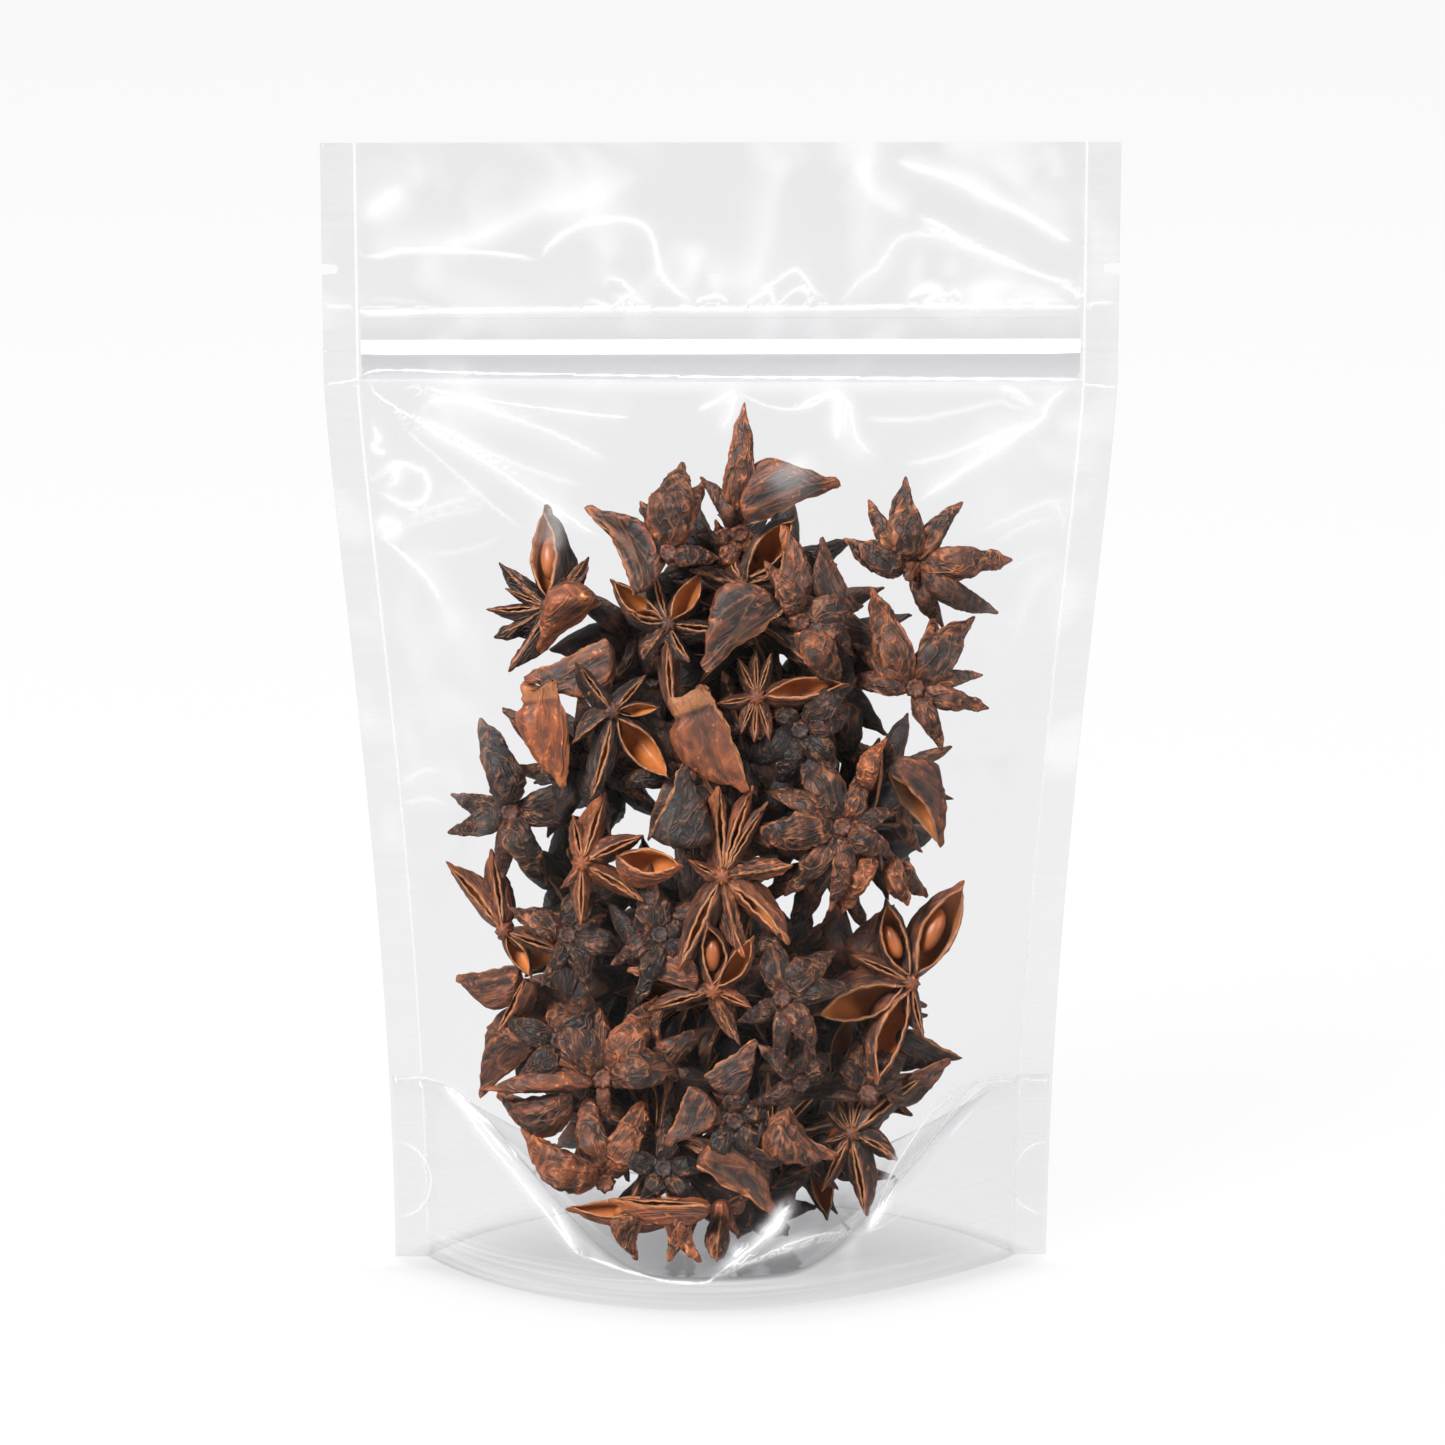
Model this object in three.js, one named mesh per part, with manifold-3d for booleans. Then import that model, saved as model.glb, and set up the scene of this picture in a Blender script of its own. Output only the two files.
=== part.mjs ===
// Stand-up pouch of clear film, pressed shut and filled with dried star anise.
// Millimetres, +Z up, the front towards -Y, the origin on the floor under the middle of the base.
//
// The pouch is two equal panels of film, welded down both sides, with a folded gusset for a base.
// The film bends but doesn't stretch: wherever the filling pushes the panels apart, each one becomes
// an arc of unchanged length, and the side seals are drawn in towards each other. Above the filling
// the panels lie face to face with a thin slit between them, which is open at the top, and the
// press-to-close strip is a piece of its own that sits across the foot of that slit.
import * as THREE from 'three';
import { mergeVertices } from 'three/addons/utils/BufferGeometryUtils.js';
import Module from 'manifold-3d';

// Panels and side seals
const POUCH_HEIGHT = 204;      // from the floor to the top edge
const PANEL_WIDTH = 140;       // one panel laid flat, its side seals included
const BASE_WIDTH = 119;        // between the two corners that stand on the floor
const SEAL_WIDTH = 6;          // the weld down each side
const SEAL_THICKNESS = 0.8;    // both panels where they lie together
const WALL = 0.3;              // one panel beside the slit

// Filling
const FILL_HEIGHT = 162;       // the panels lie flat on each other from here up
const FILL_ONSET = 1.9;        // how late the sides start to spread above the base
const FILL_CLOSE = 1.3;        // how softly they reach the flat part
const FILL_EASE = 22;          // the panels close towards each other over this much height
const BELLY = 0.05;            // the base bellies out by this share more than a plain arc
const BELLY_HEIGHT = 80;
const LUMP_DEPTH = 0.8;        // unevenness where single pods press on the film
const LUMP_WIDTH = 28;         // half a wave across the film
const LUMP_HEIGHT = 35;        // and up it
const LUMP_SLANT = 0.4;        // how far the rows and columns of lumps lean
const LUMP_FOOT = [8, 30];     // they grow between these heights
const EDGE_FREEDOM = 0.82;     // relief fades from this share of the free film towards the seals
const FLAT_CHEEK_DEPTH = 4;    // the front is this much flatter low down on its right half
const FLAT_CHEEK_CENTRE = 34;
const FLAT_CHEEK_REACH = 26;
const FLAT_CHEEK_HEIGHT = 60;

// Press-to-close strip
const ZIP_CENTRE = 167.4;      // height of the interlocked rib
const ZIP_FLANGE_HALF = 5.9;   // half the height of the strip's flat flanges
const ZIP_FLANGE_RAISE = 0.5;  // how far a flange lifts the flat panel
const ZIP_RIB_HALF = 1.4;
const ZIP_RIB_RAISE = 1.1;
const ZIP_EDGE = [-0.3, 0.6];  // the flange's edge is eased from here to here
const ZIP_END = 0.96;          // the strip is crushed flat past this share of the free film
const ZIP_CLEARANCE = 0.3;     // between the strip and each panel

// Headspace above the strip, where the two panels part a little, and the open mouth
const HEAD_FOOT = 175;
const HEAD_BILLOW = 0.7;
const HEAD_CURVE = 0.6;        // how fast the panels part above the strip
const MOUTH_CUT = 2;           // the cutter of the slit reaches this far past the top edge

// Base gusset: welded to each panel below an arched line, which is lowest in the middle
const SKIRT_MIDDLE = 5.5;      // height of that line in the middle of a panel
const SKIRT_SIDE = 31;         // and where it meets the side seals
const SKIRT_CURVE = 2.6;       // how late it turns up towards the sides
const SKIRT_PINCH = 1.4;       // the panel is drawn in along the line
const SKIRT_PINCH_REACH = 3;
const SKIRT_HEM = 2;           // no pinch at the very edge that stands on the floor

// Tear notches, one in each side seal
const NOTCH_HEIGHT = 181.8;
const NOTCH_DEPTH = 2.8;
const NOTCH_OPENING = 2;
const NOTCH_CUT = 4;           // depth of the cutter, front to back
const NOTCH_ARC_STEPS = 8;

const FILM_COLOUR = 0xe4e4e7;
const FILM_ROUGHNESS = 0.12;
const ZIP_COLOUR = 0xf2f2f4;
const ZIP_ROUGHNESS = 0.3;

// Grid of a panel: columns across the flat film, rows up its height
const SEAL_COLUMNS = 1;
const PANEL_COLUMNS = 28;
const ROW_BANDS = [
  { top: SKIRT_MIDDLE, rows: 3 },
  { top: 60, rows: 12 },
  { top: FILL_HEIGHT - 18, rows: 10 },
  { top: ZIP_CENTRE - ZIP_FLANGE_HALF, rows: 5 },
  { top: ZIP_CENTRE - ZIP_RIB_HALF, rows: 2 },
  { top: ZIP_CENTRE, rows: 2 },
  { top: ZIP_CENTRE + ZIP_RIB_HALF, rows: 2 },
  { top: ZIP_CENTRE + ZIP_FLANGE_HALF, rows: 2 },
  { top: HEAD_FOOT, rows: 1 },
  { top: POUCH_HEIGHT, rows: 5 },
];
const CALM_HEIGHT = 60;        // rows run level from here up

const FREE_HALF = PANEL_WIDTH / 2 - SEAL_WIDTH;   // free film from the middle to a seal
const HALVINGS = 40;           // steps of the search for an arc's angle
const FLATTEST_ANGLE = 1e-4;   // keeps the radius of a flat panel finite
const SAME_POINT = 1e-4;       // corners closer than this are one

const bump = (distance, reach) => Math.exp(-((distance / reach) ** 2));
const smooth = (low, high, value) => THREE.MathUtils.smoothstep(value, low, high);

// Heights of the rows, band by band, before the skirt bends the lowest ones.
function rowLevels() {
  const levels = [0];
  for (const band of ROW_BANDS) {
    const foot = levels[levels.length - 1];
    for (let row = 1; row <= band.rows; row += 1) {
      levels.push(foot + ((band.top - foot) * row) / band.rows);
    }
  }
  return levels;
}

// Places of the columns across the flat panel, from its left edge to its right edge.
function columnPlaces() {
  const places = [];
  const step = (2 * FREE_HALF) / PANEL_COLUMNS;
  for (let column = 0; column <= SEAL_COLUMNS; column += 1) {
    places.push(-FREE_HALF - SEAL_WIDTH + (SEAL_WIDTH * column) / SEAL_COLUMNS);
  }
  for (let column = 1; column <= PANEL_COLUMNS; column += 1) {
    places.push(-FREE_HALF + step * column);
  }
  for (let column = 1; column <= SEAL_COLUMNS; column += 1) {
    places.push(FREE_HALF + (SEAL_WIDTH * column) / SEAL_COLUMNS);
  }
  return places;
}

// Half the width over the seals: narrowest at the full base, the whole panel at the flat top.
function halfWidthAt(z) {
  const rise = Math.min(z / FILL_HEIGHT, 1);
  const spread = 1 - (1 - rise ** FILL_ONSET) ** FILL_CLOSE;
  return THREE.MathUtils.lerp(BASE_WIDTH, PANEL_WIDTH, spread) / 2;
}

// Half the opening angle of an arc whose chord is the given share of its length.
function halfAngle(chordShare) {
  let low = 0;
  let high = Math.PI;
  for (let step = 0; step < HALVINGS; step += 1) {
    const angle = (low + high) / 2;
    if (Math.sin(angle) > chordShare * angle) {
      low = angle;
    } else {
      high = angle;
    }
  }
  return low;
}

// The weld line of the gusset on a panel.
function skirtLine(place) {
  const outward = Math.min(Math.abs(place) / FREE_HALF, 1);
  return THREE.MathUtils.lerp(SKIRT_MIDDLE, SKIRT_SIDE, outward ** SKIRT_CURVE);
}

// The lowest rows follow the weld line and ease back to level.
function rowHeight(level, place) {
  const line = skirtLine(place);
  if (level <= SKIRT_MIDDLE) {
    return (level / SKIRT_MIDDLE) * line;
  }
  if (level >= CALM_HEIGHT) {
    return level;
  }
  return THREE.MathUtils.mapLinear(level, SKIRT_MIDDLE, CALM_HEIGHT, line, CALM_HEIGHT);
}

// How far the closing strip raises the panel at a height.
function zipRaise(z) {
  const fromRib = Math.abs(z - ZIP_CENTRE);
  const pastEdge = smooth(ZIP_FLANGE_HALF + ZIP_EDGE[0], ZIP_FLANGE_HALF + ZIP_EDGE[1], fromRib);
  const flange = ZIP_FLANGE_RAISE * (1 - pastEdge);
  const rib = ZIP_RIB_RAISE * (1 - smooth(0, ZIP_RIB_HALF, fromRib));
  return flange + rib;
}

// Soft lumps over the filling, different on the two sides.
function lumps(place, z, side) {
  const across = (Math.PI * (place + LUMP_SLANT * z)) / LUMP_WIDTH;
  const upward = (Math.PI * (z + LUMP_SLANT * place)) / LUMP_HEIGHT;
  return LUMP_DEPTH * Math.sin(across + side) * Math.sin(upward - 2 * side);
}

// How far a panel stands from the middle plane, from its place across the film and its height.
// side is -1 for the front and +1 for the back.
function panelDepth(place, z, side, arcDepth) {
  const outward = Math.abs(place) / FREE_HALF;
  const freedom = 1 - smooth(EDGE_FREEDOM, 1, outward);
  const filled = freedom * (1 - smooth(FILL_HEIGHT - FILL_EASE, FILL_HEIGHT, z));
  const headShare = THREE.MathUtils.clamp((z - HEAD_FOOT) / (POUCH_HEIGHT - HEAD_FOOT), 0, 1);
  const head = Math.sin((Math.PI / 2) * headShare ** HEAD_CURVE);
  let depth = SEAL_THICKNESS / 2 + arcDepth * (1 + BELLY * (1 - smooth(0, BELLY_HEIGHT, z)));
  depth += (1 - smooth(ZIP_END, 1, outward)) * zipRaise(z) + freedom * HEAD_BILLOW * head;
  depth += filled * smooth(LUMP_FOOT[0], LUMP_FOOT[1], z) * lumps(place, z, side);
  const pinch = SKIRT_PINCH * bump(z - skirtLine(place), SKIRT_PINCH_REACH);
  depth -= filled * smooth(0, SKIRT_HEM, z) * pinch;
  if (side < 0) {
    const cheek = bump(place - FLAT_CHEEK_CENTRE, FLAT_CHEEK_REACH);
    depth -= filled * FLAT_CHEEK_DEPTH * cheek * (1 - smooth(0, FLAT_CHEEK_HEIGHT, z));
  }
  return depth;
}

// A point of the pouch: place across the flat film, height, which panel, and how far inside its skin.
function pouchPoint(place, z, side, inset) {
  const seat = halfWidthAt(z) - SEAL_WIDTH;
  const angle = halfAngle(seat / FREE_HALF);
  const radius = FREE_HALF / Math.max(angle, FLATTEST_ANGLE);
  const onFilm = THREE.MathUtils.clamp(place, -FREE_HALF, FREE_HALF);
  const arcDepth = radius * (Math.cos(onFilm / radius) - Math.cos(angle));
  const x = radius * Math.sin(onFilm / radius) + (place - onFilm);
  return new THREE.Vector3(x, side * (panelDepth(place, z, side, arcDepth) - inset), z);
}

// A box whose every column and row is carried onto the two panels, or the same distance inside them.
function panelSolid(places, levels, inset) {
  const columns = places.length - 1;
  const rows = levels.length - 1;
  const box = new THREE.BoxGeometry(columns, 2, rows, columns, 1, rows);
  const points = box.getAttribute('position');
  for (let index = 0; index < points.count; index += 1) {
    const place = places[Math.round(points.getX(index) + columns / 2)];
    const level = levels[Math.round(points.getZ(index) + rows / 2)];
    const side = Math.sign(points.getY(index));
    const point = pouchPoint(place, rowHeight(level, place), side, inset);
    points.setXYZ(index, point.x, point.y, point.z);
  }
  return box;
}

// The columns that clear the side seals, for the slit and for the strip that crosses it.
function freePlaces() {
  return columnPlaces().filter((place) => Math.abs(place) < ZIP_END * FREE_HALF);
}

// The slit between the panels, from the foot of the closing strip out past the top edge.
function slitGeometry() {
  const levels = rowLevels().filter((level) => level > ZIP_CENTRE - ZIP_FLANGE_HALF - SAME_POINT);
  levels.push(POUCH_HEIGHT + MOUTH_CUT);
  return panelSolid(freePlaces(), levels, WALL);
}

// The closing strip fills the foot of the slit, flanges and rib, with a little clearance all round.
function zipGeometry() {
  const places = freePlaces();
  places[0] += ZIP_CLEARANCE;
  places[places.length - 1] -= ZIP_CLEARANCE;
  const levels = rowLevels().filter((level) => Math.abs(level - ZIP_CENTRE) < ZIP_FLANGE_HALF + SAME_POINT);
  levels[0] += ZIP_CLEARANCE;
  return panelSolid(places, levels, WALL + ZIP_CLEARANCE);
}

// A notch cutter: a bar with a round nose that points into the seal.
function notchGeometry(side) {
  const outline = new THREE.Shape();
  const half = NOTCH_OPENING / 2;
  const edge = PANEL_WIDTH / 2;
  const nose = edge - NOTCH_DEPTH + half;
  outline.moveTo(edge + half, -half);
  outline.lineTo(edge + half, half);
  outline.lineTo(nose, half);
  outline.absarc(nose, 0, half, Math.PI / 2, (3 * Math.PI) / 2, false);
  outline.closePath();
  const bar = new THREE.ExtrudeGeometry(outline, {
    depth: NOTCH_CUT,
    bevelEnabled: false,
    curveSegments: NOTCH_ARC_STEPS,
  });
  bar.translate(0, 0, -NOTCH_CUT / 2);
  bar.rotateX(Math.PI / 2);
  bar.rotateZ(side > 0 ? 0 : Math.PI);
  bar.translate(0, 0, NOTCH_HEIGHT);
  return bar;
}

const wasm = await Module();
wasm.setup();

function toSolid(geometry) {
  const bare = geometry.clone();
  bare.deleteAttribute('normal');
  bare.deleteAttribute('uv');
  const merged = mergeVertices(bare, SAME_POINT);
  return new wasm.Manifold(new wasm.Mesh({
    numProp: 3,
    vertProperties: new Float32Array(merged.getAttribute('position').array),
    triVerts: new Uint32Array(merged.index.array),
  }));
}

function toGeometry(solid) {
  const mesh = solid.getMesh();
  const geometry = new THREE.BufferGeometry();
  geometry.setAttribute('position', new THREE.BufferAttribute(mesh.vertProperties, 3));
  geometry.setIndex(new THREE.BufferAttribute(mesh.triVerts, 1));
  geometry.computeVertexNormals();
  return geometry;
}

function makePiece(name, geometry, color, roughness) {
  const material = new THREE.MeshStandardMaterial({ color, roughness, metalness: 0 });
  const piece = new THREE.Mesh(geometry, material);
  piece.name = name;
  return piece;
}

function makePouch() {
  let solid = toSolid(panelSolid(columnPlaces(), rowLevels(), 0));
  solid = solid.subtract(toSolid(slitGeometry()));
  for (const side of [-1, 1]) {
    solid = solid.subtract(toSolid(notchGeometry(side)));
  }
  return makePiece('pouch', toGeometry(solid), FILM_COLOUR, FILM_ROUGHNESS);
}

function makeZip() {
  return makePiece('zip_strip', toGeometry(toSolid(zipGeometry())), ZIP_COLOUR, ZIP_ROUGHNESS);
}

const starAnisePouch = new THREE.Group();
starAnisePouch.add(makePouch(), makeZip());

export default starAnisePouch;
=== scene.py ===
import math

import bpy
import numpy as np
from mathutils import Matrix, Quaternion, Vector, noise


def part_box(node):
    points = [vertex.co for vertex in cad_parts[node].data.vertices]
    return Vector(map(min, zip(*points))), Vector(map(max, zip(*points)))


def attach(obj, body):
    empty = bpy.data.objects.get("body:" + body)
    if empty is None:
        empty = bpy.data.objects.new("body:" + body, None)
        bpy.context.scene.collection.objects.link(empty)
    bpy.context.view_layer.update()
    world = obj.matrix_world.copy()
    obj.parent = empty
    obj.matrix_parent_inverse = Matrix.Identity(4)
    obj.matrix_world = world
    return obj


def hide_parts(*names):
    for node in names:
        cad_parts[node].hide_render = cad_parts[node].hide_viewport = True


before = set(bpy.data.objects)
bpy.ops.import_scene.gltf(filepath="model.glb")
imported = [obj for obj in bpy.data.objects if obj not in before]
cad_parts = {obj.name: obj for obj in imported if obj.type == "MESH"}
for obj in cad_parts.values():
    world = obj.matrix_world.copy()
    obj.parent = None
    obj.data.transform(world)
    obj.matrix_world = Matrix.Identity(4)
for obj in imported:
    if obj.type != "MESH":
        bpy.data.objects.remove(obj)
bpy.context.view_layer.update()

# A clear stand-up pouch, pressed shut and filled with dried star anise. Sizes are in millimetres and
# become metres where a mesh is made. The front of the pouch faces -Y.
MM = 0.001
POUCH_LOW, POUCH_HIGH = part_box("pouch")

# ---------------------------------------------------------------- pouch sizes
PANEL_WIDTH = (POUCH_HIGH.x - POUCH_LOW.x) / MM
POUCH_HEIGHT = (POUCH_HIGH.z - POUCH_LOW.z) / MM
ZIP_CENTRE = 167.4
BASE_WIDTH = 119.0
SEAL_WIDTH = 6.0
SEAL_HALF = 0.22         # from the middle plane to the outside of a welded panel
FILM_THICKNESS = 0.12
FREE_HALF = PANEL_WIDTH / 2 - SEAL_WIDTH
FILL_HEIGHT = 162.0
FILL_ONSET, FILL_CLOSE, FILL_EASE = 1.9, 1.3, 22.0
BELLY, BELLY_HEIGHT = 0.05, 80.0
EDGE_FREEDOM = 0.82
CHEEK_DEPTH, CHEEK_CENTRE, CHEEK_REACH, CHEEK_HEIGHT = 4.0, 34.0, 26.0, 60.0
STRIP_HALF = 5.7         # half the height of the strip
ZIP_FLANGE_HALF, ZIP_FLANGE_RAISE = 5.9, 0.5
ZIP_RIB_HALF, ZIP_RIB_RAISE, ZIP_RIB_ABOVE = 1.3, 1.1, 0.6    # the rib lies above the strip's middle
ZIP_END = 0.96
HEAD_FOOT, HEAD_BILLOW, HEAD_CURVE = 175.0, 0.7, 0.6
SKIRT_MIDDLE, SKIRT_SIDE = 5.5, 34.2
SKIRT_PINCH, SKIRT_PINCH_REACH, SKIRT_HEM = 1.0, 2.2, 2.0
CALM_HEIGHT = 60.0
NOTCH_HEIGHT, NOTCH_DEPTH, NOTCH_HALF = 181.8, 2.8, 1.0
GUSSET_SAG = 3.0         # the base film hangs this much lower than its weld line
GUSSET_GAP = 0.25        # between the base film and the panel it is welded to
POD_SHADE_REACH = 30.0        # how far to either side the painted shade of the pods reaches on the base film

# ---------------------------------------------------------------- camera
PICTURE_SIDE = 1445      # picture points below are measured in a square picture of this side
CAMERA_TURN, CAMERA_RISE = math.radians(-0.66), math.radians(13.1)
CAMERA_AIM = Vector((0.26, 0.0, 100.0))
CAMERA_DISTANCE = 1000.0
CAMERA_LENS, CAMERA_SENSOR = 139.3, 36.0
FOCAL_POINTS = CAMERA_LENS / CAMERA_SENSOR * PICTURE_SIDE


def make_camera():
    back = Vector((math.sin(CAMERA_TURN) * math.cos(CAMERA_RISE),
                   -math.cos(CAMERA_TURN) * math.cos(CAMERA_RISE), math.sin(CAMERA_RISE)))
    data = bpy.data.cameras.new("camera")
    data.lens, data.sensor_width = CAMERA_LENS, CAMERA_SENSOR
    data.clip_start, data.clip_end = 0.05, 20.0
    camera = bpy.data.objects.new("camera", data)
    camera.location = (CAMERA_AIM + back * CAMERA_DISTANCE) * MM
    camera.rotation_mode = "QUATERNION"
    camera.rotation_quaternion = (-back).to_track_quat("-Z", "Y")
    bpy.context.scene.collection.objects.link(camera)
    bpy.context.scene.camera = camera
    return camera


CAMERA = make_camera()
EYE = np.array(CAMERA.location) / MM
EYE_AXES = np.array(CAMERA.rotation_quaternion.to_matrix())


def sight(picture_point):
    """The direction from the camera through a picture point."""
    half = PICTURE_SIDE / 2
    across, down = (picture_point[0] - half) / FOCAL_POINTS, (picture_point[1] - half) / FOCAL_POINTS
    ray = EYE_AXES @ np.array([across, -down, -1.0])
    return ray / np.linalg.norm(ray)


# ---------------------------------------------------------------- shape of the film
def smooth(low, high, value):
    share = np.clip((np.asarray(value, float) - low) / (high - low), 0, 1)
    return share * share * (3 - 2 * share)


def bump(distance, reach):
    return np.exp(-(np.asarray(distance) / reach) ** 2)


def half_width(z):
    """Half the pouch's width at a height: the fuller it is, the more its sides are drawn in."""
    rise = np.clip(np.asarray(z, float) / FILL_HEIGHT, 0, 1)
    spread = 1 - (1 - rise ** FILL_ONSET) ** FILL_CLOSE
    return (BASE_WIDTH + (PANEL_WIDTH - BASE_WIDTH) * spread) / 2


def arc_angle(chord_share):
    """Half the opening angle of an arc whose chord is that share of its length."""
    low, high = np.zeros_like(chord_share), np.full_like(chord_share, math.pi)
    for _ in range(40):
        angle = (low + high) / 2
        wide = np.sin(angle) > chord_share * angle
        low, high = np.where(wide, angle, low), np.where(wide, high, angle)
    return np.maximum(low, 1e-4)


ANGLE_HEIGHTS = np.linspace(0, POUCH_HEIGHT, 1600)
ANGLES = arc_angle((half_width(ANGLE_HEIGHTS) - SEAL_WIDTH) / FREE_HALF)


def angle_at(z):
    return np.interp(z, ANGLE_HEIGHTS, ANGLES)


def skirt_line(place, side):
    """Height of the weld between base film and panel: low across the middle and up to both sides, where
    the front's runs level."""
    outward = np.clip(np.abs(place) / FREE_HALF, 0, 1)
    rise = smooth(0.16, 0.88, outward) if side < 0 else smooth(0.1, 1.35, outward) / smooth(0.1, 1.35, 1.0)
    return SKIRT_MIDDLE + (SKIRT_SIDE - SKIRT_MIDDLE) * rise


def zip_raise(z):
    from_middle, from_rib = np.abs(z - ZIP_CENTRE), np.abs(z - ZIP_CENTRE - ZIP_RIB_ABOVE)
    flange = ZIP_FLANGE_RAISE * (1 - smooth(ZIP_FLANGE_HALF - 0.3, ZIP_FLANGE_HALF + 0.6, from_middle))
    return flange + ZIP_RIB_RAISE * (1 - smooth(0, ZIP_RIB_HALF + 0.1, from_rib))


def panel_depth(place, z, side):
    """How far a panel stands from the middle plane."""
    place, z = np.broadcast_arrays(np.asarray(place, float), np.asarray(z, float))
    angle = angle_at(z)
    radius = FREE_HALF / angle
    on_film = np.clip(place, -FREE_HALF, FREE_HALF)
    arc = radius * (np.cos(on_film / radius) - np.cos(angle))
    outward = np.abs(place) / FREE_HALF
    freedom = 1 - smooth(EDGE_FREEDOM, 1, outward)
    filled = freedom * (1 - smooth(FILL_HEIGHT - FILL_EASE, FILL_HEIGHT, z))
    head = np.sin(math.pi / 2 * np.clip((z - HEAD_FOOT) / (POUCH_HEIGHT - HEAD_FOOT), 0, 1) ** HEAD_CURVE)
    depth = SEAL_HALF + arc * (1 + BELLY * (1 - smooth(0, BELLY_HEIGHT, z)))
    depth = depth + (1 - smooth(ZIP_END, 1, outward)) * zip_raise(z) + freedom * HEAD_BILLOW * head
    pinch = SKIRT_PINCH * bump(z - skirt_line(place, side), SKIRT_PINCH_REACH)
    depth = depth - filled * smooth(0, SKIRT_HEM, z) * pinch
    if side < 0:
        cheek = bump(place - CHEEK_CENTRE, CHEEK_REACH) * (1 - smooth(0, CHEEK_HEIGHT, z))
        depth = depth - filled * CHEEK_DEPTH * cheek
    return depth


def panel_x(place, z):
    angle = angle_at(z)
    radius = FREE_HALF / angle
    on_film = np.clip(place, -FREE_HALF, FREE_HALF)
    return radius * np.sin(on_film / radius) + (place - on_film)


def place_at(x, z):
    """The place across the flat film that lies at x."""
    radius = FREE_HALF / angle_at(z)
    seat = half_width(z) - SEAL_WIDTH
    inner = np.clip(np.asarray(x, float), -seat, seat)
    return radius * np.arcsin(np.clip(inner / radius, -1, 1)) + (x - inner)


def depth_at(x, z, side):
    """Depth of the chamber's wall at a point of the front view."""
    return panel_depth(place_at(x, z), z, side)


def on_front(picture_point):
    """The point of the front panel seen at a picture point."""
    ray = sight(picture_point)
    y = 0.0
    for _ in range(12):
        point = EYE + ray * ((y - EYE[1]) / ray[1])
        y = -float(depth_at(point[0], np.clip(point[2], 0, POUCH_HEIGHT), -1))
    return EYE + ray * ((y - EYE[1]) / ray[1])
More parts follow.
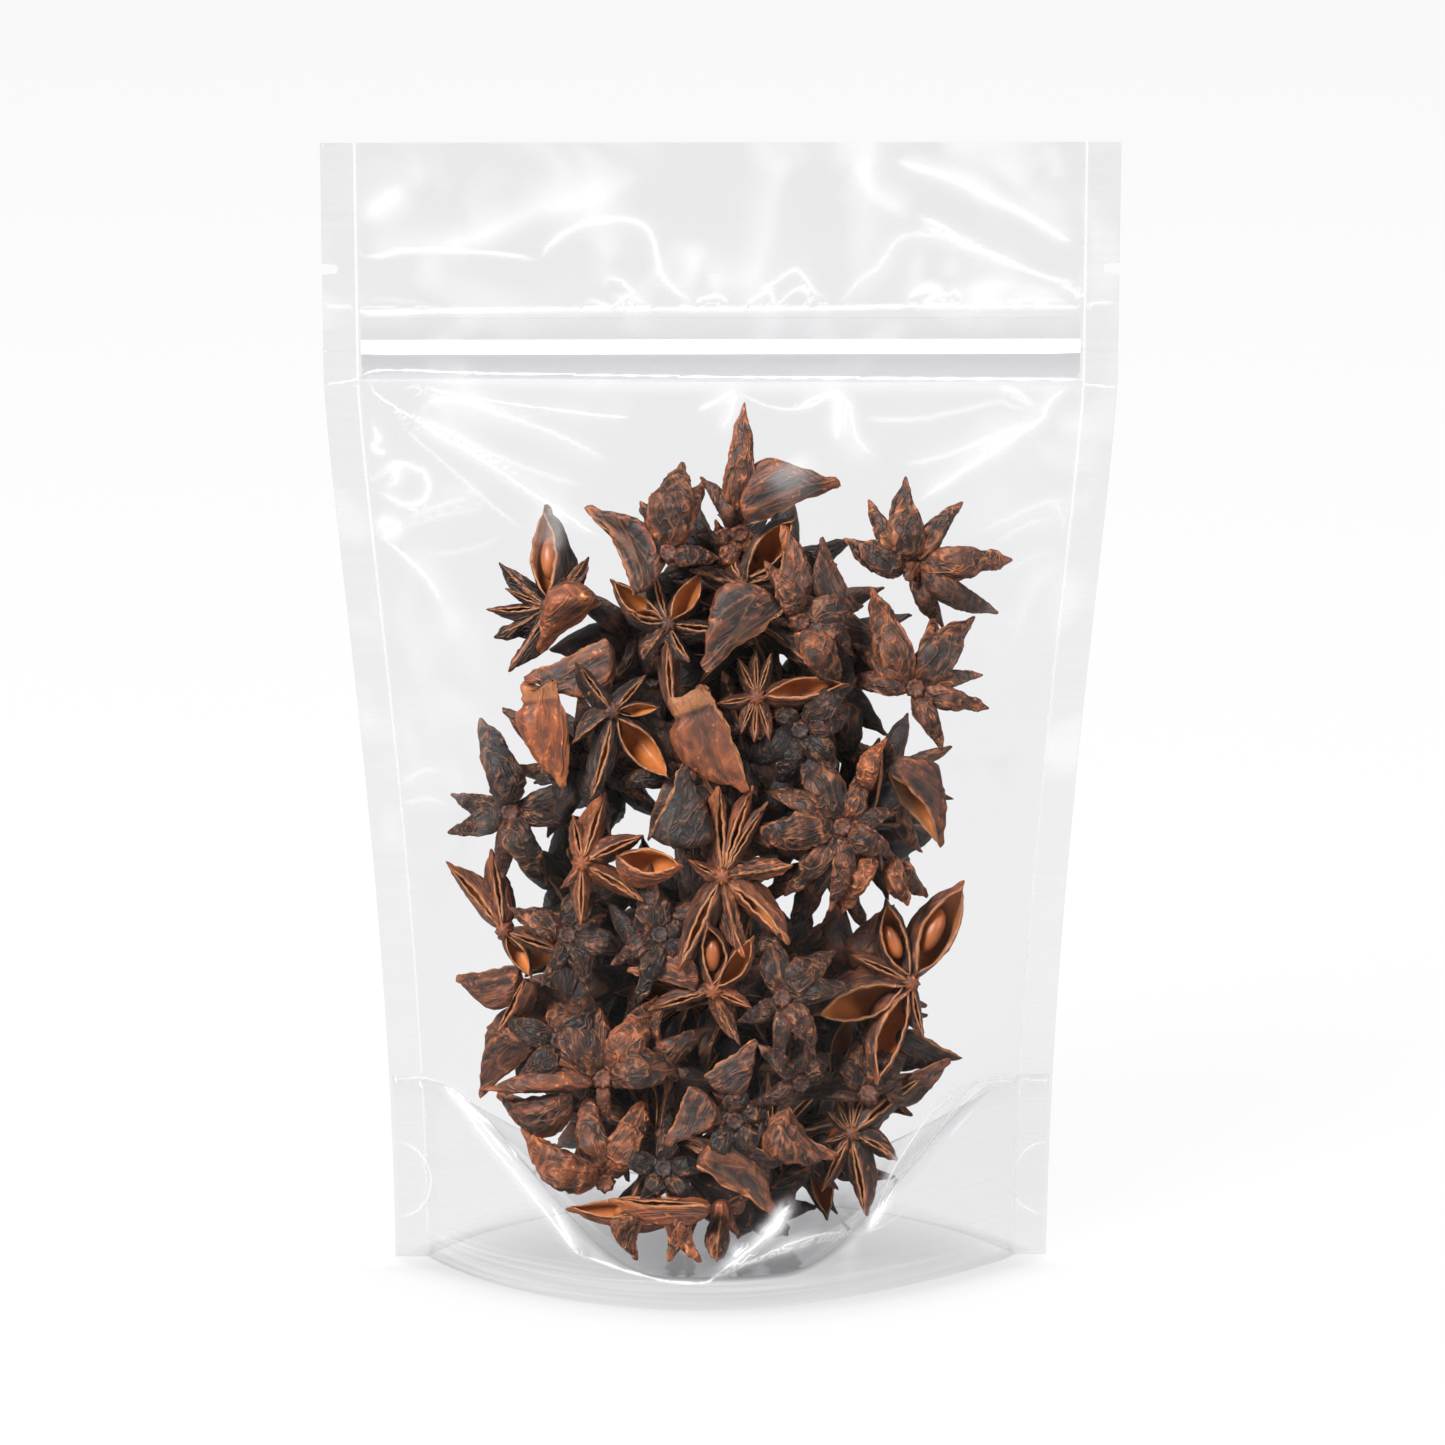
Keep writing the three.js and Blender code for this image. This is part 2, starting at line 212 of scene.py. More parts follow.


# ---------------------------------------------------------------- creases of the front panel
# Each crease: its line in picture points, how far it stands out, the reach of its soft side (to the
# right of its run), how bright its painted highlight line is, and how much painted sheen whitens the film
# beside it.
CREASES = (
    # fan from the left end of the strip
    (((367, 379), (379, 396), (407, 414), (442, 437), (473, 454), (529, 491), (562, 512), (598, 537)),
     0.14, 2.4, 0.34, 0.0),
    (((598, 537), (562, 512), (529, 491), (473, 454), (442, 437), (407, 414)), 0.05, 2.0, 0.0, 0.12),
    (((398, 420), (416, 439), (442, 461), (469, 485), (500, 512), (524, 529)),
     0.15, 1.4, 0.24, 0.0),
    (((422, 383), (438, 391), (469, 397), (507, 403), (544, 408), (600, 415), (633, 418)),
     0.15, 1.8, 0.22, 0.03),
    (((430, 416), (424, 410), (431, 402), (456, 399), (489, 410), (522, 421), (556, 434), (589, 450),
      (609, 463)), 0.2, 2.4, 0.22, 0.07),
    (((416, 414), (456, 434), (500, 457), (544, 474), (584, 486)), 0.15, 2.4, 0.16, 0.07),
    (((406, 389), (414, 386), (421, 391), (416, 396)), 0.15, 0.8, 0.2, 0.0),
    # dimples beside the left seal
    (((377, 491), (384, 494), (396, 501), (411, 504), (424, 499), (429, 486), (424, 472), (411, 466),
      (396, 463), (387, 468), (382, 477)), 0.45, 0.9, 0.5, 0.12),
    (((373, 483), (382, 474), (396, 472), (396, 478), (389, 486), (380, 488)), 0.35, 0.6, 0.5, 0.2),
    (((378, 523), (389, 521), (397, 528), (391, 534), (382, 529)), 0.3, 0.8, 0.5, 0.25),
    (((373, 423), (377, 434), (380, 439), (373, 446), (378, 452), (389, 451)), 0.2, 0.8, 0.4, 0.1),
    # sweep below the dimples, and faint arcs beside it
    (((378, 534), (396, 548), (416, 566), (431, 583), (442, 606)), 0.35, 1.6, 0.5, 0.0),
    (((452, 650), (451, 623), (442, 606), (431, 583), (416, 566), (396, 548)), 0.2, 3.4, 0.0, 0.13),
    (((398, 523), (433, 508), (473, 496)), 0.15, 1.4, 0.2, 0.03),
    (((400, 529), (440, 516), (489, 508)), 0.15, 1.4, 0.16, 0.0),
    (((424, 554), (456, 552), (489, 543), (504, 534)), 0.15, 1.4, 0.16, 0.0),
    # fan from the right end of the strip
    (((1073, 390), (1058, 394), (1047, 406), (1042, 418), (1022, 432), (996, 450), (964, 470), (938, 488),
      (918, 501)), 0.5, 2.4, 0.55, 0.17),
    (((1042, 418), (1013, 430), (978, 443), (956, 452), (924, 461), (902, 464)), 0.25, 2.6, 0.28, 0.08),
    (((1040, 410), (1013, 407), (1000, 401), (964, 410), (924, 418), (893, 420), (862, 418)),
     0.2, 1.8, 0.24, 0.03),
    (((1036, 406), (1024, 397), (1013, 390), (1000, 388)), 0.25, 0.8, 0.34, 0.05),
    (((1036, 406), (1022, 401), (1009, 392)), 0.2, 0.7, 0.3, 0.0),
    (((836, 390), (813, 399), (800, 407)), 0.3, 1.4, 0.3, 0.08),
    (((836, 390), (838, 408), (837, 437)), 0.3, 1.6, 0.2, 0.14),
    (((836, 390), (849, 403), (853, 426), (860, 443), (880, 462)), 0.2, 2.8, 0.16, 0.12),
    (((735, 391), (716, 401), (700, 409)), 0.25, 1.2, 0.3, 0.08),
    (((735, 391), (732, 410), (722, 430)), 0.2, 1.8, 0.1, 0.12),
    (((735, 391), (760, 403), (785, 409), (812, 405), (836, 390)), 0.2, 1.4, 0.2, 0.0),
    (((1071, 503), (1056, 501), (1036, 506), (1013, 517), (978, 532)), 0.3, 1.6, 0.32, 0.08),
    (((1056, 521), (1033, 523), (1000, 541), (987, 548)), 0.2, 1.2, 0.3, 0.05),
    (((1054, 501), (1060, 512), (1064, 526), (1066, 543)), 0.2, 1.2, 0.3, 0.05),
    (((1064, 557), (1051, 570), (1036, 588), (1024, 610), (1017, 640)), 0.2, 3.0, 0.14, 0.15),
    (((1064, 554), (1044, 553), (1022, 563), (1000, 577)), 0.2, 2.2, 0.16, 0.07),
    # painted sheen where pods press against the film
    (((762, 486), (780, 474), (800, 464), (818, 456)), 0.0, 3.6, 0.0, 0.26),
    (((552, 505), (557, 525), (554, 548)), 0.0, 3.0, 0.0, 0.24),
    # lower left wrinkles
    (((396, 790), (420, 772), (446, 770)), 0.2, 1.6, 0.22, 0.06),
    (((398, 806), (425, 799), (450, 806)), 0.2, 1.8, 0.22, 0.06),
    (((1050, 700), (1046, 730), (1049, 770)), 0.15, 1.4, 0.3, 0.1),
    # mouth of the pouch
    (((361, 257), (382, 256), (400, 251), (425, 250), (462, 251), (500, 254), (540, 260)),
     0.4, 1.8, 0.6, 0.0),
    (((540, 260), (550, 245), (570, 230), (590, 222), (615, 219), (635, 221), (650, 232), (656, 250),
      (660, 270), (670, 285), (685, 297), (692, 305)), 0.5, 1.4, 0.6, 0.1),
    (((642, 170), (620, 185), (595, 195), (565, 205), (540, 207), (512, 220), (475, 237), (440, 245),
      (400, 249), (366, 252)), 0.1, 3.2, 0.0, 0.15),
    (((612, 232), (606, 262), (600, 295)), 0.0, 2.6, 0.0, 0.09),
    (((440, 249), (475, 240), (512, 224), (540, 212), (565, 210), (595, 202), (628, 196)),
     0.1, 2.2, 0.0, 0.1),
    (((362, 226), (372, 212), (390, 199), (412, 184)), 0.2, 3.4, 0.0, 0.24),
    (((412, 184), (390, 199), (372, 212), (362, 226)), 0.1, 2.6, 0.0, 0.12),
    (((607, 292), (606, 281), (614, 278), (624, 283), (633, 293), (620, 297), (608, 293)),
     0.3, 0.8, 0.4, 0.12),
    (((580, 306), (590, 300), (602, 304), (615, 306), (625, 297), (637, 299), (655, 307)),
     0.3, 0.9, 0.5, 0.06),
    (((700, 236), (695, 260), (690, 280), (688, 300)), 0.25, 3.0, 0.0, 0.22),
    (((716, 272), (715, 292)), 0.2, 1.4, 0.0, 0.2),
    (((682, 305), (697, 300), (720, 296), (727, 305)), 0.25, 0.8, 0.45, 0.1),
    (((747, 305), (760, 295), (770, 292), (775, 305)), 0.25, 0.8, 0.4, 0.08),
    (((750, 300), (770, 285), (785, 275), (797, 270), (807, 280), (815, 292), (830, 300)),
     0.3, 1.2, 0.4, 0.08),
    (((777, 306), (787, 295), (797, 289), (807, 292), (810, 305)), 0.25, 0.8, 0.45, 0.05),
    (((835, 305), (847, 295), (860, 280), (875, 270), (887, 255), (897, 240), (915, 234), (950, 237),
      (982, 242)), 0.3, 2.2, 0.26, 0.1),
    (((920, 245), (917, 270), (907, 295)), 0.2, 1.6, 0.0, 0.14),
    (((952, 257), (952, 278)), 0.2, 1.6, 0.0, 0.14),
    (((907, 305), (912, 295), (925, 290), (934, 290), (932, 297), (920, 302)), 0.35, 0.8, 0.8, 0.5),
    (((935, 290), (947, 295), (957, 292), (962, 300)), 0.2, 0.8, 0.3, 0.1),
    (((960, 301), (987, 285), (1025, 287), (1062, 297)), 0.25, 3.0, 0.0, 0.18),
    (((1074, 302), (1040, 300), (960, 304)), 0.15, 2.0, 0.2, 0.14),
    (((915, 215), (940, 225), (970, 245), (1000, 257), (1032, 272), (1057, 280), (1077, 282)),
     0.4, 1.6, 0.6, 0.06),
    (((1060, 284), (1072, 290), (1082, 300)), 0.2, 0.9, 0.5, 0.1),
    (((920, 222), (962, 245), (990, 257), (1030, 274)), 0.2, 1.6, 0.26, 0.1),
    (((1075, 245), (1050, 230), (1020, 212), (987, 197), (962, 182), (925, 170), (895, 160)),
     0.45, 2.0, 0.6, 0.24),
    (((895, 160), (872, 160), (868, 178), (880, 198), (915, 215)), 0.2, 2.0, 0.0, 0.12),
    (((915, 215), (880, 198), (866, 178), (862, 152)), 0.1, 3.6, 0.0, 0.15),
    (((1075, 217), (1050, 207), (1020, 185), (995, 155)), 0.25, 2.6, 0.0, 0.14),
    (((1050, 147), (1057, 165), (1060, 180)), 0.2, 2.0, 0.0, 0.14),
    (((790, 150), (775, 190), (767, 225), (760, 260), (750, 295)), 0.1, 3.6, 0.0, 0.13),
    # upper and lower edge of the strip, and the lines where they run over the side seals
    (((354, 306), (365, 312), (387, 312), (425, 311), (500, 310), (600, 309), (725, 309), (825, 308),
      (925, 306), (1025, 306), (1084, 307)), 0.1, 0.8, 0.8, 0.0),
    (((360, 305), (375, 300), (400, 300), (437, 306)), 0.1, 0.8, 0.15, 0.0),
    (((359, 377), (375, 371), (405, 370), (475, 373), (600, 375), (737, 377), (900, 378), (1083, 379)),
     0.1, 0.7, 0.8, 0.0),
    (((1083, 384), (900, 384), (737, 384), (600, 382), (475, 379), (400, 376), (359, 379)),
     0.1, 0.7, 0.0, 0.1),
    (((326, 305), (340, 307), (354, 305)), 0.05, 0.6, 0.35, 0.0),
    (((326, 384), (345, 382), (359, 378)), 0.05, 0.6, 0.4, 0.0),
    (((1084, 305), (1100, 303), (1114, 303)), 0.05, 0.6, 0.4, 0.0),
    (((1083, 384), (1100, 386), (1114, 387)), 0.05, 0.6, 0.4, 0.0),
    # weld of the base film, left to right
    (((391, 1079), (431, 1080), (443, 1083)), 0.1, 0.8, 0.4, 0.0),
    (((586, 1260), (578, 1254), (565, 1238), (545, 1212), (520, 1180), (495, 1150), (475, 1125), (462, 1105),
      (452, 1095), (441, 1082)), 0.4, 1.5, 0.8, 0.14),
    (((497, 1133), (485, 1120), (470, 1108), (458, 1094), (450, 1086)), 0.3, 0.9, 0.8, 0.2),
    (((510, 1148), (516, 1156)), 0.1, 0.5, 0.8, 0.0),
    (((549, 1203), (556, 1213), (563, 1228), (570, 1240), (578, 1254)), 0.3, 0.7, 0.9, 0.2),
    (((578, 1254), (590, 1258), (605, 1263), (620, 1269), (635, 1273), (660, 1280), (694, 1283), (710, 1281),
      (718, 1275), (722, 1268)), 0.35, 0.8, 0.8, 0.0),
    (((586, 1256), (602, 1260)), 0.1, 0.6, 0.8, 0.1),
    (((712, 1279), (722, 1270), (740, 1258), (760, 1241), (776, 1229), (785, 1215), (791, 1206)),
     0.4, 1.3, 0.9, 0.6),
    (((762, 1236), (774, 1226), (781, 1214), (789, 1206)), 0.2, 1.3, 0.9, 0.9),
    (((722, 1270), (750, 1262), (775, 1250), (800, 1240), (830, 1233), (863, 1233)), 0.35, 1.0, 0.6, 0.14),
    (((815, 1238), (790, 1246), (765, 1256)), 0.2, 1.5, 0.0, 0.4),
    (((712, 1279), (740, 1268), (770, 1257), (810, 1244), (865, 1233)), 0.2, 1.2, 0.3, 0.05),
    (((734, 1256), (742, 1245)), 0.2, 0.7, 1.0, 0.4),
    (((867, 1231), (873, 1219), (880, 1202), (889, 1180), (898, 1162), (916, 1134), (935, 1109), (966, 1084)),
     0.3, 1.0, 1.0, 0.5),
    (((867, 1231), (882, 1209), (898, 1182), (914, 1161), (931, 1140), (950, 1114), (969, 1091), (985, 1082),
      (1018, 1080)), 0.4, 1.0, 1.0, 0.4),
    (((850, 1224), (867, 1231), (890, 1222), (915, 1202)), 0.1, 0.8, 0.3, 0.0),
    (((853, 1240), (852, 1262), (850, 1282)), 0.1, 2.0, 0.0, 0.1),
    (((1018, 1080), (1050, 1080)), 0.1, 0.8, 0.25, 0.0),
    # half-round punch marks
    (((394, 1140), (413, 1147), (427, 1165), (431, 1180), (427, 1198), (415, 1212), (394, 1217)),
     0.1, 0.6, 0.34, 0.0),
    (((1050, 1140), (1030, 1147), (1016, 1165), (1013, 1180), (1017, 1200), (1030, 1210), (1048, 1215)),
     0.1, 0.6, 0.34, 0.0),
)
# Share of a crease's height that is bent into the film, by the height it starts at.
CREASE_LIFTS = ((0, 34, 38), (0.25, 0.25, 0.6))
CREASE_STEP = 0.7        # spacing of the points along a crease's line
CREASE_SHARP = 1.3       # reach of a crease's steep side
CREASE_REACH = 3.0       # a crease is felt out to this many times its softer reach
# How much of a crease shows at a height: in the filled chamber and in the head it is weaker, and its
# painted highlight line wider, than at the strip.
CREASE_SHARES = ((0, 34, 38, 160, 161, 174, 175), (0.85, 0.85, 0.42, 0.42, 1.0, 1.0, 0.48))
LINE_REACH = 1.2         # the painted highlight line is followed this far to either side


def rounded_line(points, step):
    """A smooth line through the points, with its run direction."""
    points = np.array(points, float)
    padded = np.vstack([2 * points[0] - points[1], points, 2 * points[-1] - points[-2]])
    made = []
    for index in range(len(points) - 1):
        a, b, c, d = padded[index:index + 4]
        count = max(2, int(np.linalg.norm(c - b) / step))
        for share in np.arange(count) / count:
            made.append(0.5 * (2 * b + (c - a) * share + (2 * a - 5 * b + 4 * c - d) * share ** 2
                               + (3 * b - a - 3 * c + d) * share ** 3))
    made.append(points[-1])
    made = np.array(made)
    run = np.gradient(made, axis=0)
    return made, run / np.maximum(np.linalg.norm(run, axis=1, keepdims=True), 1e-9)


def crease_relief(place, z):
    """For each point: lift and painted sheen by the creases, and the nearest painted highlight line: how
    far it is, on which side, and how bright."""
    lift, painted_sheen = np.zeros(place.size), np.zeros(place.size)
    line_gap, painted_glint = np.full(place.size, 9.0), np.zeros(place.size)
    flat = np.column_stack([place.ravel(), z.ravel()])
    for points, height, soft, bright, side_sheen in CREASES:
        seen = [on_front(p) for p in points]
        share = np.interp(seen[0][2], *CREASE_SHARES)
        height = height * share * np.interp(seen[0][2], *CREASE_LIFTS)
        bright, side_sheen = bright * share, side_sheen * share ** 0.5
        line, run = rounded_line([(float(place_at(p[0], p[2])), p[2]) for p in seen], CREASE_STEP)
        reach = max(CREASE_REACH * soft, 2 * LINE_REACH)
        near = np.where(np.all((flat > line.min(0) - reach) & (flat < line.max(0) + reach), axis=1))[0]
        if not len(near):
            continue
        away = flat[near, None, :] - line[None, :, :]
        distance = np.linalg.norm(away, axis=2)
        closest = distance.argmin(1)
        rows = np.arange(len(near))
        run, away, gap = run[closest], away[rows, closest], distance[rows, closest]
        cross = run[:, 0] * away[:, 1] - run[:, 1] * away[:, 0]
        width = np.where(cross < 0, soft, CREASE_SHARP)
        ends = np.minimum(closest, len(line) - 1 - closest) * CREASE_STEP
        fade = smooth(-0.5, 4.0, ends) if len(line) * CREASE_STEP > 9 else smooth(-0.5, 1.0, ends)
        lift[near] += height * fade * np.exp(-(gap / width) ** 2)
        painted_sheen[near] += side_sheen * fade * np.exp(-(gap / width) ** 2)
        nearer = gap - 0.4 * bright * fade < np.abs(line_gap[near]) - 0.4 * painted_glint[near]
        followed = (gap < LINE_REACH) & nearer & (bright > 0)
        line_gap[near[followed]] = (share * gap * np.where(cross < 0, -1, 1))[followed]
        painted_glint[near[followed]] = (bright * fade * (1 - smooth(0.7, LINE_REACH, gap)))[followed]
    return (values.reshape(place.shape) for values in (lift, painted_sheen, line_gap, painted_glint))


# ---------------------------------------------------------------- mesh and node helpers
def make_object(name, points, faces, attributes=None, shade_smooth=True):
    """A mesh object from points in millimetres."""
    mesh = bpy.data.meshes.new(name)
    mesh.from_pydata((np.asarray(points) * MM).tolist(), [], faces)
    mesh.update()
    for key, values in (attributes or {}).items():
        layer = mesh.attributes.new(key, "FLOAT", "POINT")
        layer.data.foreach_set("value", np.asarray(values, np.float32).ravel())
    if shade_smooth:
        mesh.polygons.foreach_set("use_smooth", np.ones(len(mesh.polygons), bool))
    made = bpy.data.objects.new(name, mesh)
    bpy.context.scene.collection.objects.link(made)
    return made


def grid_faces(rows, columns, wrap=False, flip=False):
    """Quads of a grid of points stored row by row; wrap closes each row on itself."""
    last = columns if wrap else columns - 1
    r, c = np.meshgrid(np.arange(rows - 1), np.arange(last), indexing="ij")
    n = (c + 1) % columns
    quads = np.stack([r * columns + c, r * columns + n, (r + 1) * columns + n, (r + 1) * columns + c], -1)
    quads = quads.reshape(-1, 4)
    return (quads[:, ::-1] if flip else quads).tolist()


def end_faces(rows, columns):
    """Triangles that close both ends of a wrapped grid onto two points stored after it."""
    first, last = rows * columns, rows * columns + 1
    faces = []
    for column in range(columns):
        following = (column + 1) % columns
        faces.append([first, following, column])
        faces.append([last, (rows - 1) * columns + column, (rows - 1) * columns + following])
    return faces


class Nodes:
    """Builds a node tree: adds nodes with their settings and inputs, and links sockets given as inputs."""

    def __init__(self, tree):
        self.tree = tree

    def add(self, kind, inputs=None, **settings):
        node = self.tree.nodes.new(kind)
        for key, value in settings.items():
            setattr(node, key, value)
        for key, value in (inputs or {}).items():
            if isinstance(value, bpy.types.NodeSocket):
                self.tree.links.new(value, node.inputs[key])
            else:
                node.inputs[key].default_value = value
        return node

    def math(self, operation, a, b=0.0, clamp=False):
        return self.add("ShaderNodeMath", {0: a, 1: b}, operation=operation, use_clamp=clamp).outputs[0]

    def times(self, a, b, clamp=False):
        return self.math("MULTIPLY", a, b, clamp)

    def plus(self, a, b, clamp=False):
        return self.math("ADD", a, b, clamp)

    def minus(self, a, b, clamp=False):
        return self.math("SUBTRACT", a, b, clamp)

    def attribute(self, name):
        return self.add("ShaderNodeAttribute", attribute_name=name).outputs["Fac"]

    def place(self):
        return self.add("ShaderNodeTexCoord").outputs["Object"]

    def stretched(self, vector, factors):
        return self.add("ShaderNodeVectorMath", {0: vector, 1: factors}, operation="MULTIPLY").outputs[0]

    def cloudy(self, vector, scale, detail, rough=0.5, twist=0.0):
        """A cloudy pattern between 0 and 1."""
        return self.add("ShaderNodeTexNoise", {"Vector": vector, "Scale": scale, "Detail": detail,
                                               "Roughness": rough, "Distortion": twist}).outputs["Fac"]

    def relief(self, height, strength, distance):
        return self.add("ShaderNodeBump", {"Height": height, "Strength": strength,
                                           "Distance": distance}).outputs["Normal"]

    def ramp(self, factor, stops):
        node = self.add("ShaderNodeValToRGB", {"Fac": factor})
        elements = node.color_ramp.elements
        while len(elements) < len(stops):
            elements.new(0.5)
        for element, (position, colour) in zip(elements, stops):
            element.position = position
            element.color = (*colour, 1.0)
        return node.outputs["Color"]

    def blend(self, factor, a, b):
        node = self.add("ShaderNodeMix", data_type="RGBA")
        for key, value in ((0, factor), (6, a), (7, b)):
            if isinstance(value, bpy.types.NodeSocket):
                self.tree.links.new(value, node.inputs[key])
            else:
                node.inputs[key].default_value = (*value, 1.0) if isinstance(value, tuple) else value
        return node.outputs[2]

    def shader(self, kind, inputs):
        return self.add("ShaderNode" + kind, inputs).outputs[0]

    def mixed(self, share, first, second):
        return self.shader("MixShader", {0: share, 1: first, 2: second})

    def show(self, surface, output="ShaderNodeOutputMaterial"):
        self.tree.links.new(surface, self.add(output).inputs["Surface"])


def new_material(name):
    material = bpy.data.materials.new(name)
    material.use_nodes = True
    material.node_tree.nodes.clear()
    return material, Nodes(material.node_tree)


def linear(red, green, blue):
    """Screen colour, 0 to 255, as linear light."""
    shares = np.array([red, green, blue]) / 255
    bright = ((shares + 0.055) / 1.055) ** 2.4
    return tuple(float(v) for v in np.where(shares <= 0.04045, shares / 12.92, bright))


# ---------------------------------------------------------------- materials
WHITE = (1.0, 1.0, 1.0, 1.0)
FILM_TINT = (0.962, 0.962, 0.965)
WELD_TINT = (0.995, 0.995, 0.995)
POD_SHADE_TINT = (0.70, 0.70, 0.71)           # painted shade on the base film close under the pods
FILM_HAZE = (0.95, 0.95, 0.96, 1.0)
LINE_HALF = 0.42         # half the width of a painted highlight line in the film
MIRROR_FACING = 0.007    # how much film mirrors seen square on
MIRROR_ROUGH = 0.12


def mirrored(nodes, body, normal=None):
    """A surface that mirrors little square on and fully at a glance, from its outer face only."""
    bent = {} if normal is None else {"Normal": normal}
    gloss = nodes.shader("BsdfGlossy", {"Color": WHITE, "Roughness": MIRROR_ROUGH, **bent})
    slant = nodes.add("ShaderNodeLayerWeight", {"Blend": 0.5, **bent}).outputs["Facing"]
    glance = nodes.times(nodes.math("POWER", slant, 5.0), 1 - MIRROR_FACING)
    share = nodes.plus(glance, MIRROR_FACING, clamp=True)
    inside = nodes.add("ShaderNodeNewGeometry").outputs["Backfacing"]
    return nodes.mixed(nodes.times(share, nodes.minus(1.0, inside)), body, gloss)


def film_material():
    """Clear glossy film: it lets light through, mirrors softly, whitens a little where welded, and carries
    painted highlights and sheen along its creases and seal edges.
    """
    material, nodes = new_material("clear_film")
    place = nodes.place()
    # painted highlight lines along the creases, the seals' inner edges and the back's bottom edge
    painted_lines = nodes.math("ABSOLUTE", nodes.times(nodes.attribute("line"), 1 / LINE_HALF))
    painted_lines = nodes.math("POWER", nodes.minus(1.0, painted_lines, clamp=True), 1.6)
    painted_lines = nodes.times(painted_lines, nodes.times(nodes.attribute("painted_glint"), 0.75))
    stripes = nodes.cloudy(nodes.stretched(place, (24.0, 24.0, 1400.0)), 1.0, 1.0)
    streak = nodes.times(nodes.minus(stripes, 0.42), nodes.times(nodes.attribute("weld"), 0.26))
    drift = nodes.minus(nodes.cloudy(place, 60.0, 1.0, twist=0.8), 0.5)
    drift = nodes.times(nodes.times(drift, nodes.attribute("slack")), 0.21, clamp=True)
    # painted sheen beside the creases, mottled by a random drift, plus the seals' own stripes
    amount = nodes.plus(nodes.times(nodes.attribute("painted_sheen"), 0.62), painted_lines)
    amount = nodes.plus(nodes.plus(amount, drift), streak, clamp=True)
    tint = nodes.blend(nodes.attribute("faint"), FILM_TINT, WELD_TINT)
    # painted shade of the pods on the base film
    tint = nodes.blend(nodes.attribute("pod_shade"), tint, POD_SHADE_TINT)
    clear = nodes.shader("BsdfTransparent", {"Color": tint})
    milk = nodes.shader("BsdfDiffuse", {"Color": FILM_HAZE})
    glow = nodes.shader("BsdfTranslucent", {"Color": FILM_HAZE})
    body = nodes.mixed(amount, clear, nodes.mixed(0.45, milk, glow))
    nodes.show(mirrored(nodes, body, nodes.relief(nodes.cloudy(place, 45.0, 2.0), 0.25, 0.004)))
    return material


def zip_material():
    """Milky press-to-close strip: the rib nearly white, the flanges only hazy."""
    material, nodes = new_material("milky_strip")
    milky = {"Color": (0.98, 0.98, 0.99, 1.0)}
    tint = nodes.ramp(nodes.attribute("shade"), ((0.0, (0.99, 0.99, 0.99)), (1.0, (0.86, 0.86, 0.87))))
    clear = nodes.shader("BsdfTransparent", {"Color": tint})
    solid = nodes.mixed(0.3, nodes.shader("BsdfDiffuse", milky), nodes.shader("BsdfTranslucent", milky))
    nodes.show(mirrored(nodes, nodes.mixed(nodes.attribute("milk"), clear, solid)))
    return material


# Husk colour by level, from near-black, which in the valleys is painted shade, to pale tan where edges show
# wear.
HUSK_SHADES = ((0.0, linear(10, 8, 9)), (0.20, linear(34, 22, 17)), (0.38, linear(84, 46, 29)),
               (0.56, linear(130, 68, 36)), (0.76, linear(184, 110, 60)), (1.0, linear(240, 182, 128)))
INNER_SHADES = ((0.15, linear(92, 48, 22)), (0.5, linear(158, 90, 42)), (0.9, linear(204, 128, 68)))
ASHEN = linear(46, 40, 40)
RIM_TAN = linear(172, 114, 72)
CREST_TAN = linear(192, 128, 88)


def crest_lines(nodes, vector, scale, thin):
    """Thin winding lines, 1 on the line and 0 beside it."""
    away = nodes.math("ABSOLUTE", nodes.minus(nodes.cloudy(vector, scale, 1.5, twist=0.7), 0.5))
    return nodes.minus(1.0, nodes.times(away, thin), clamp=True)


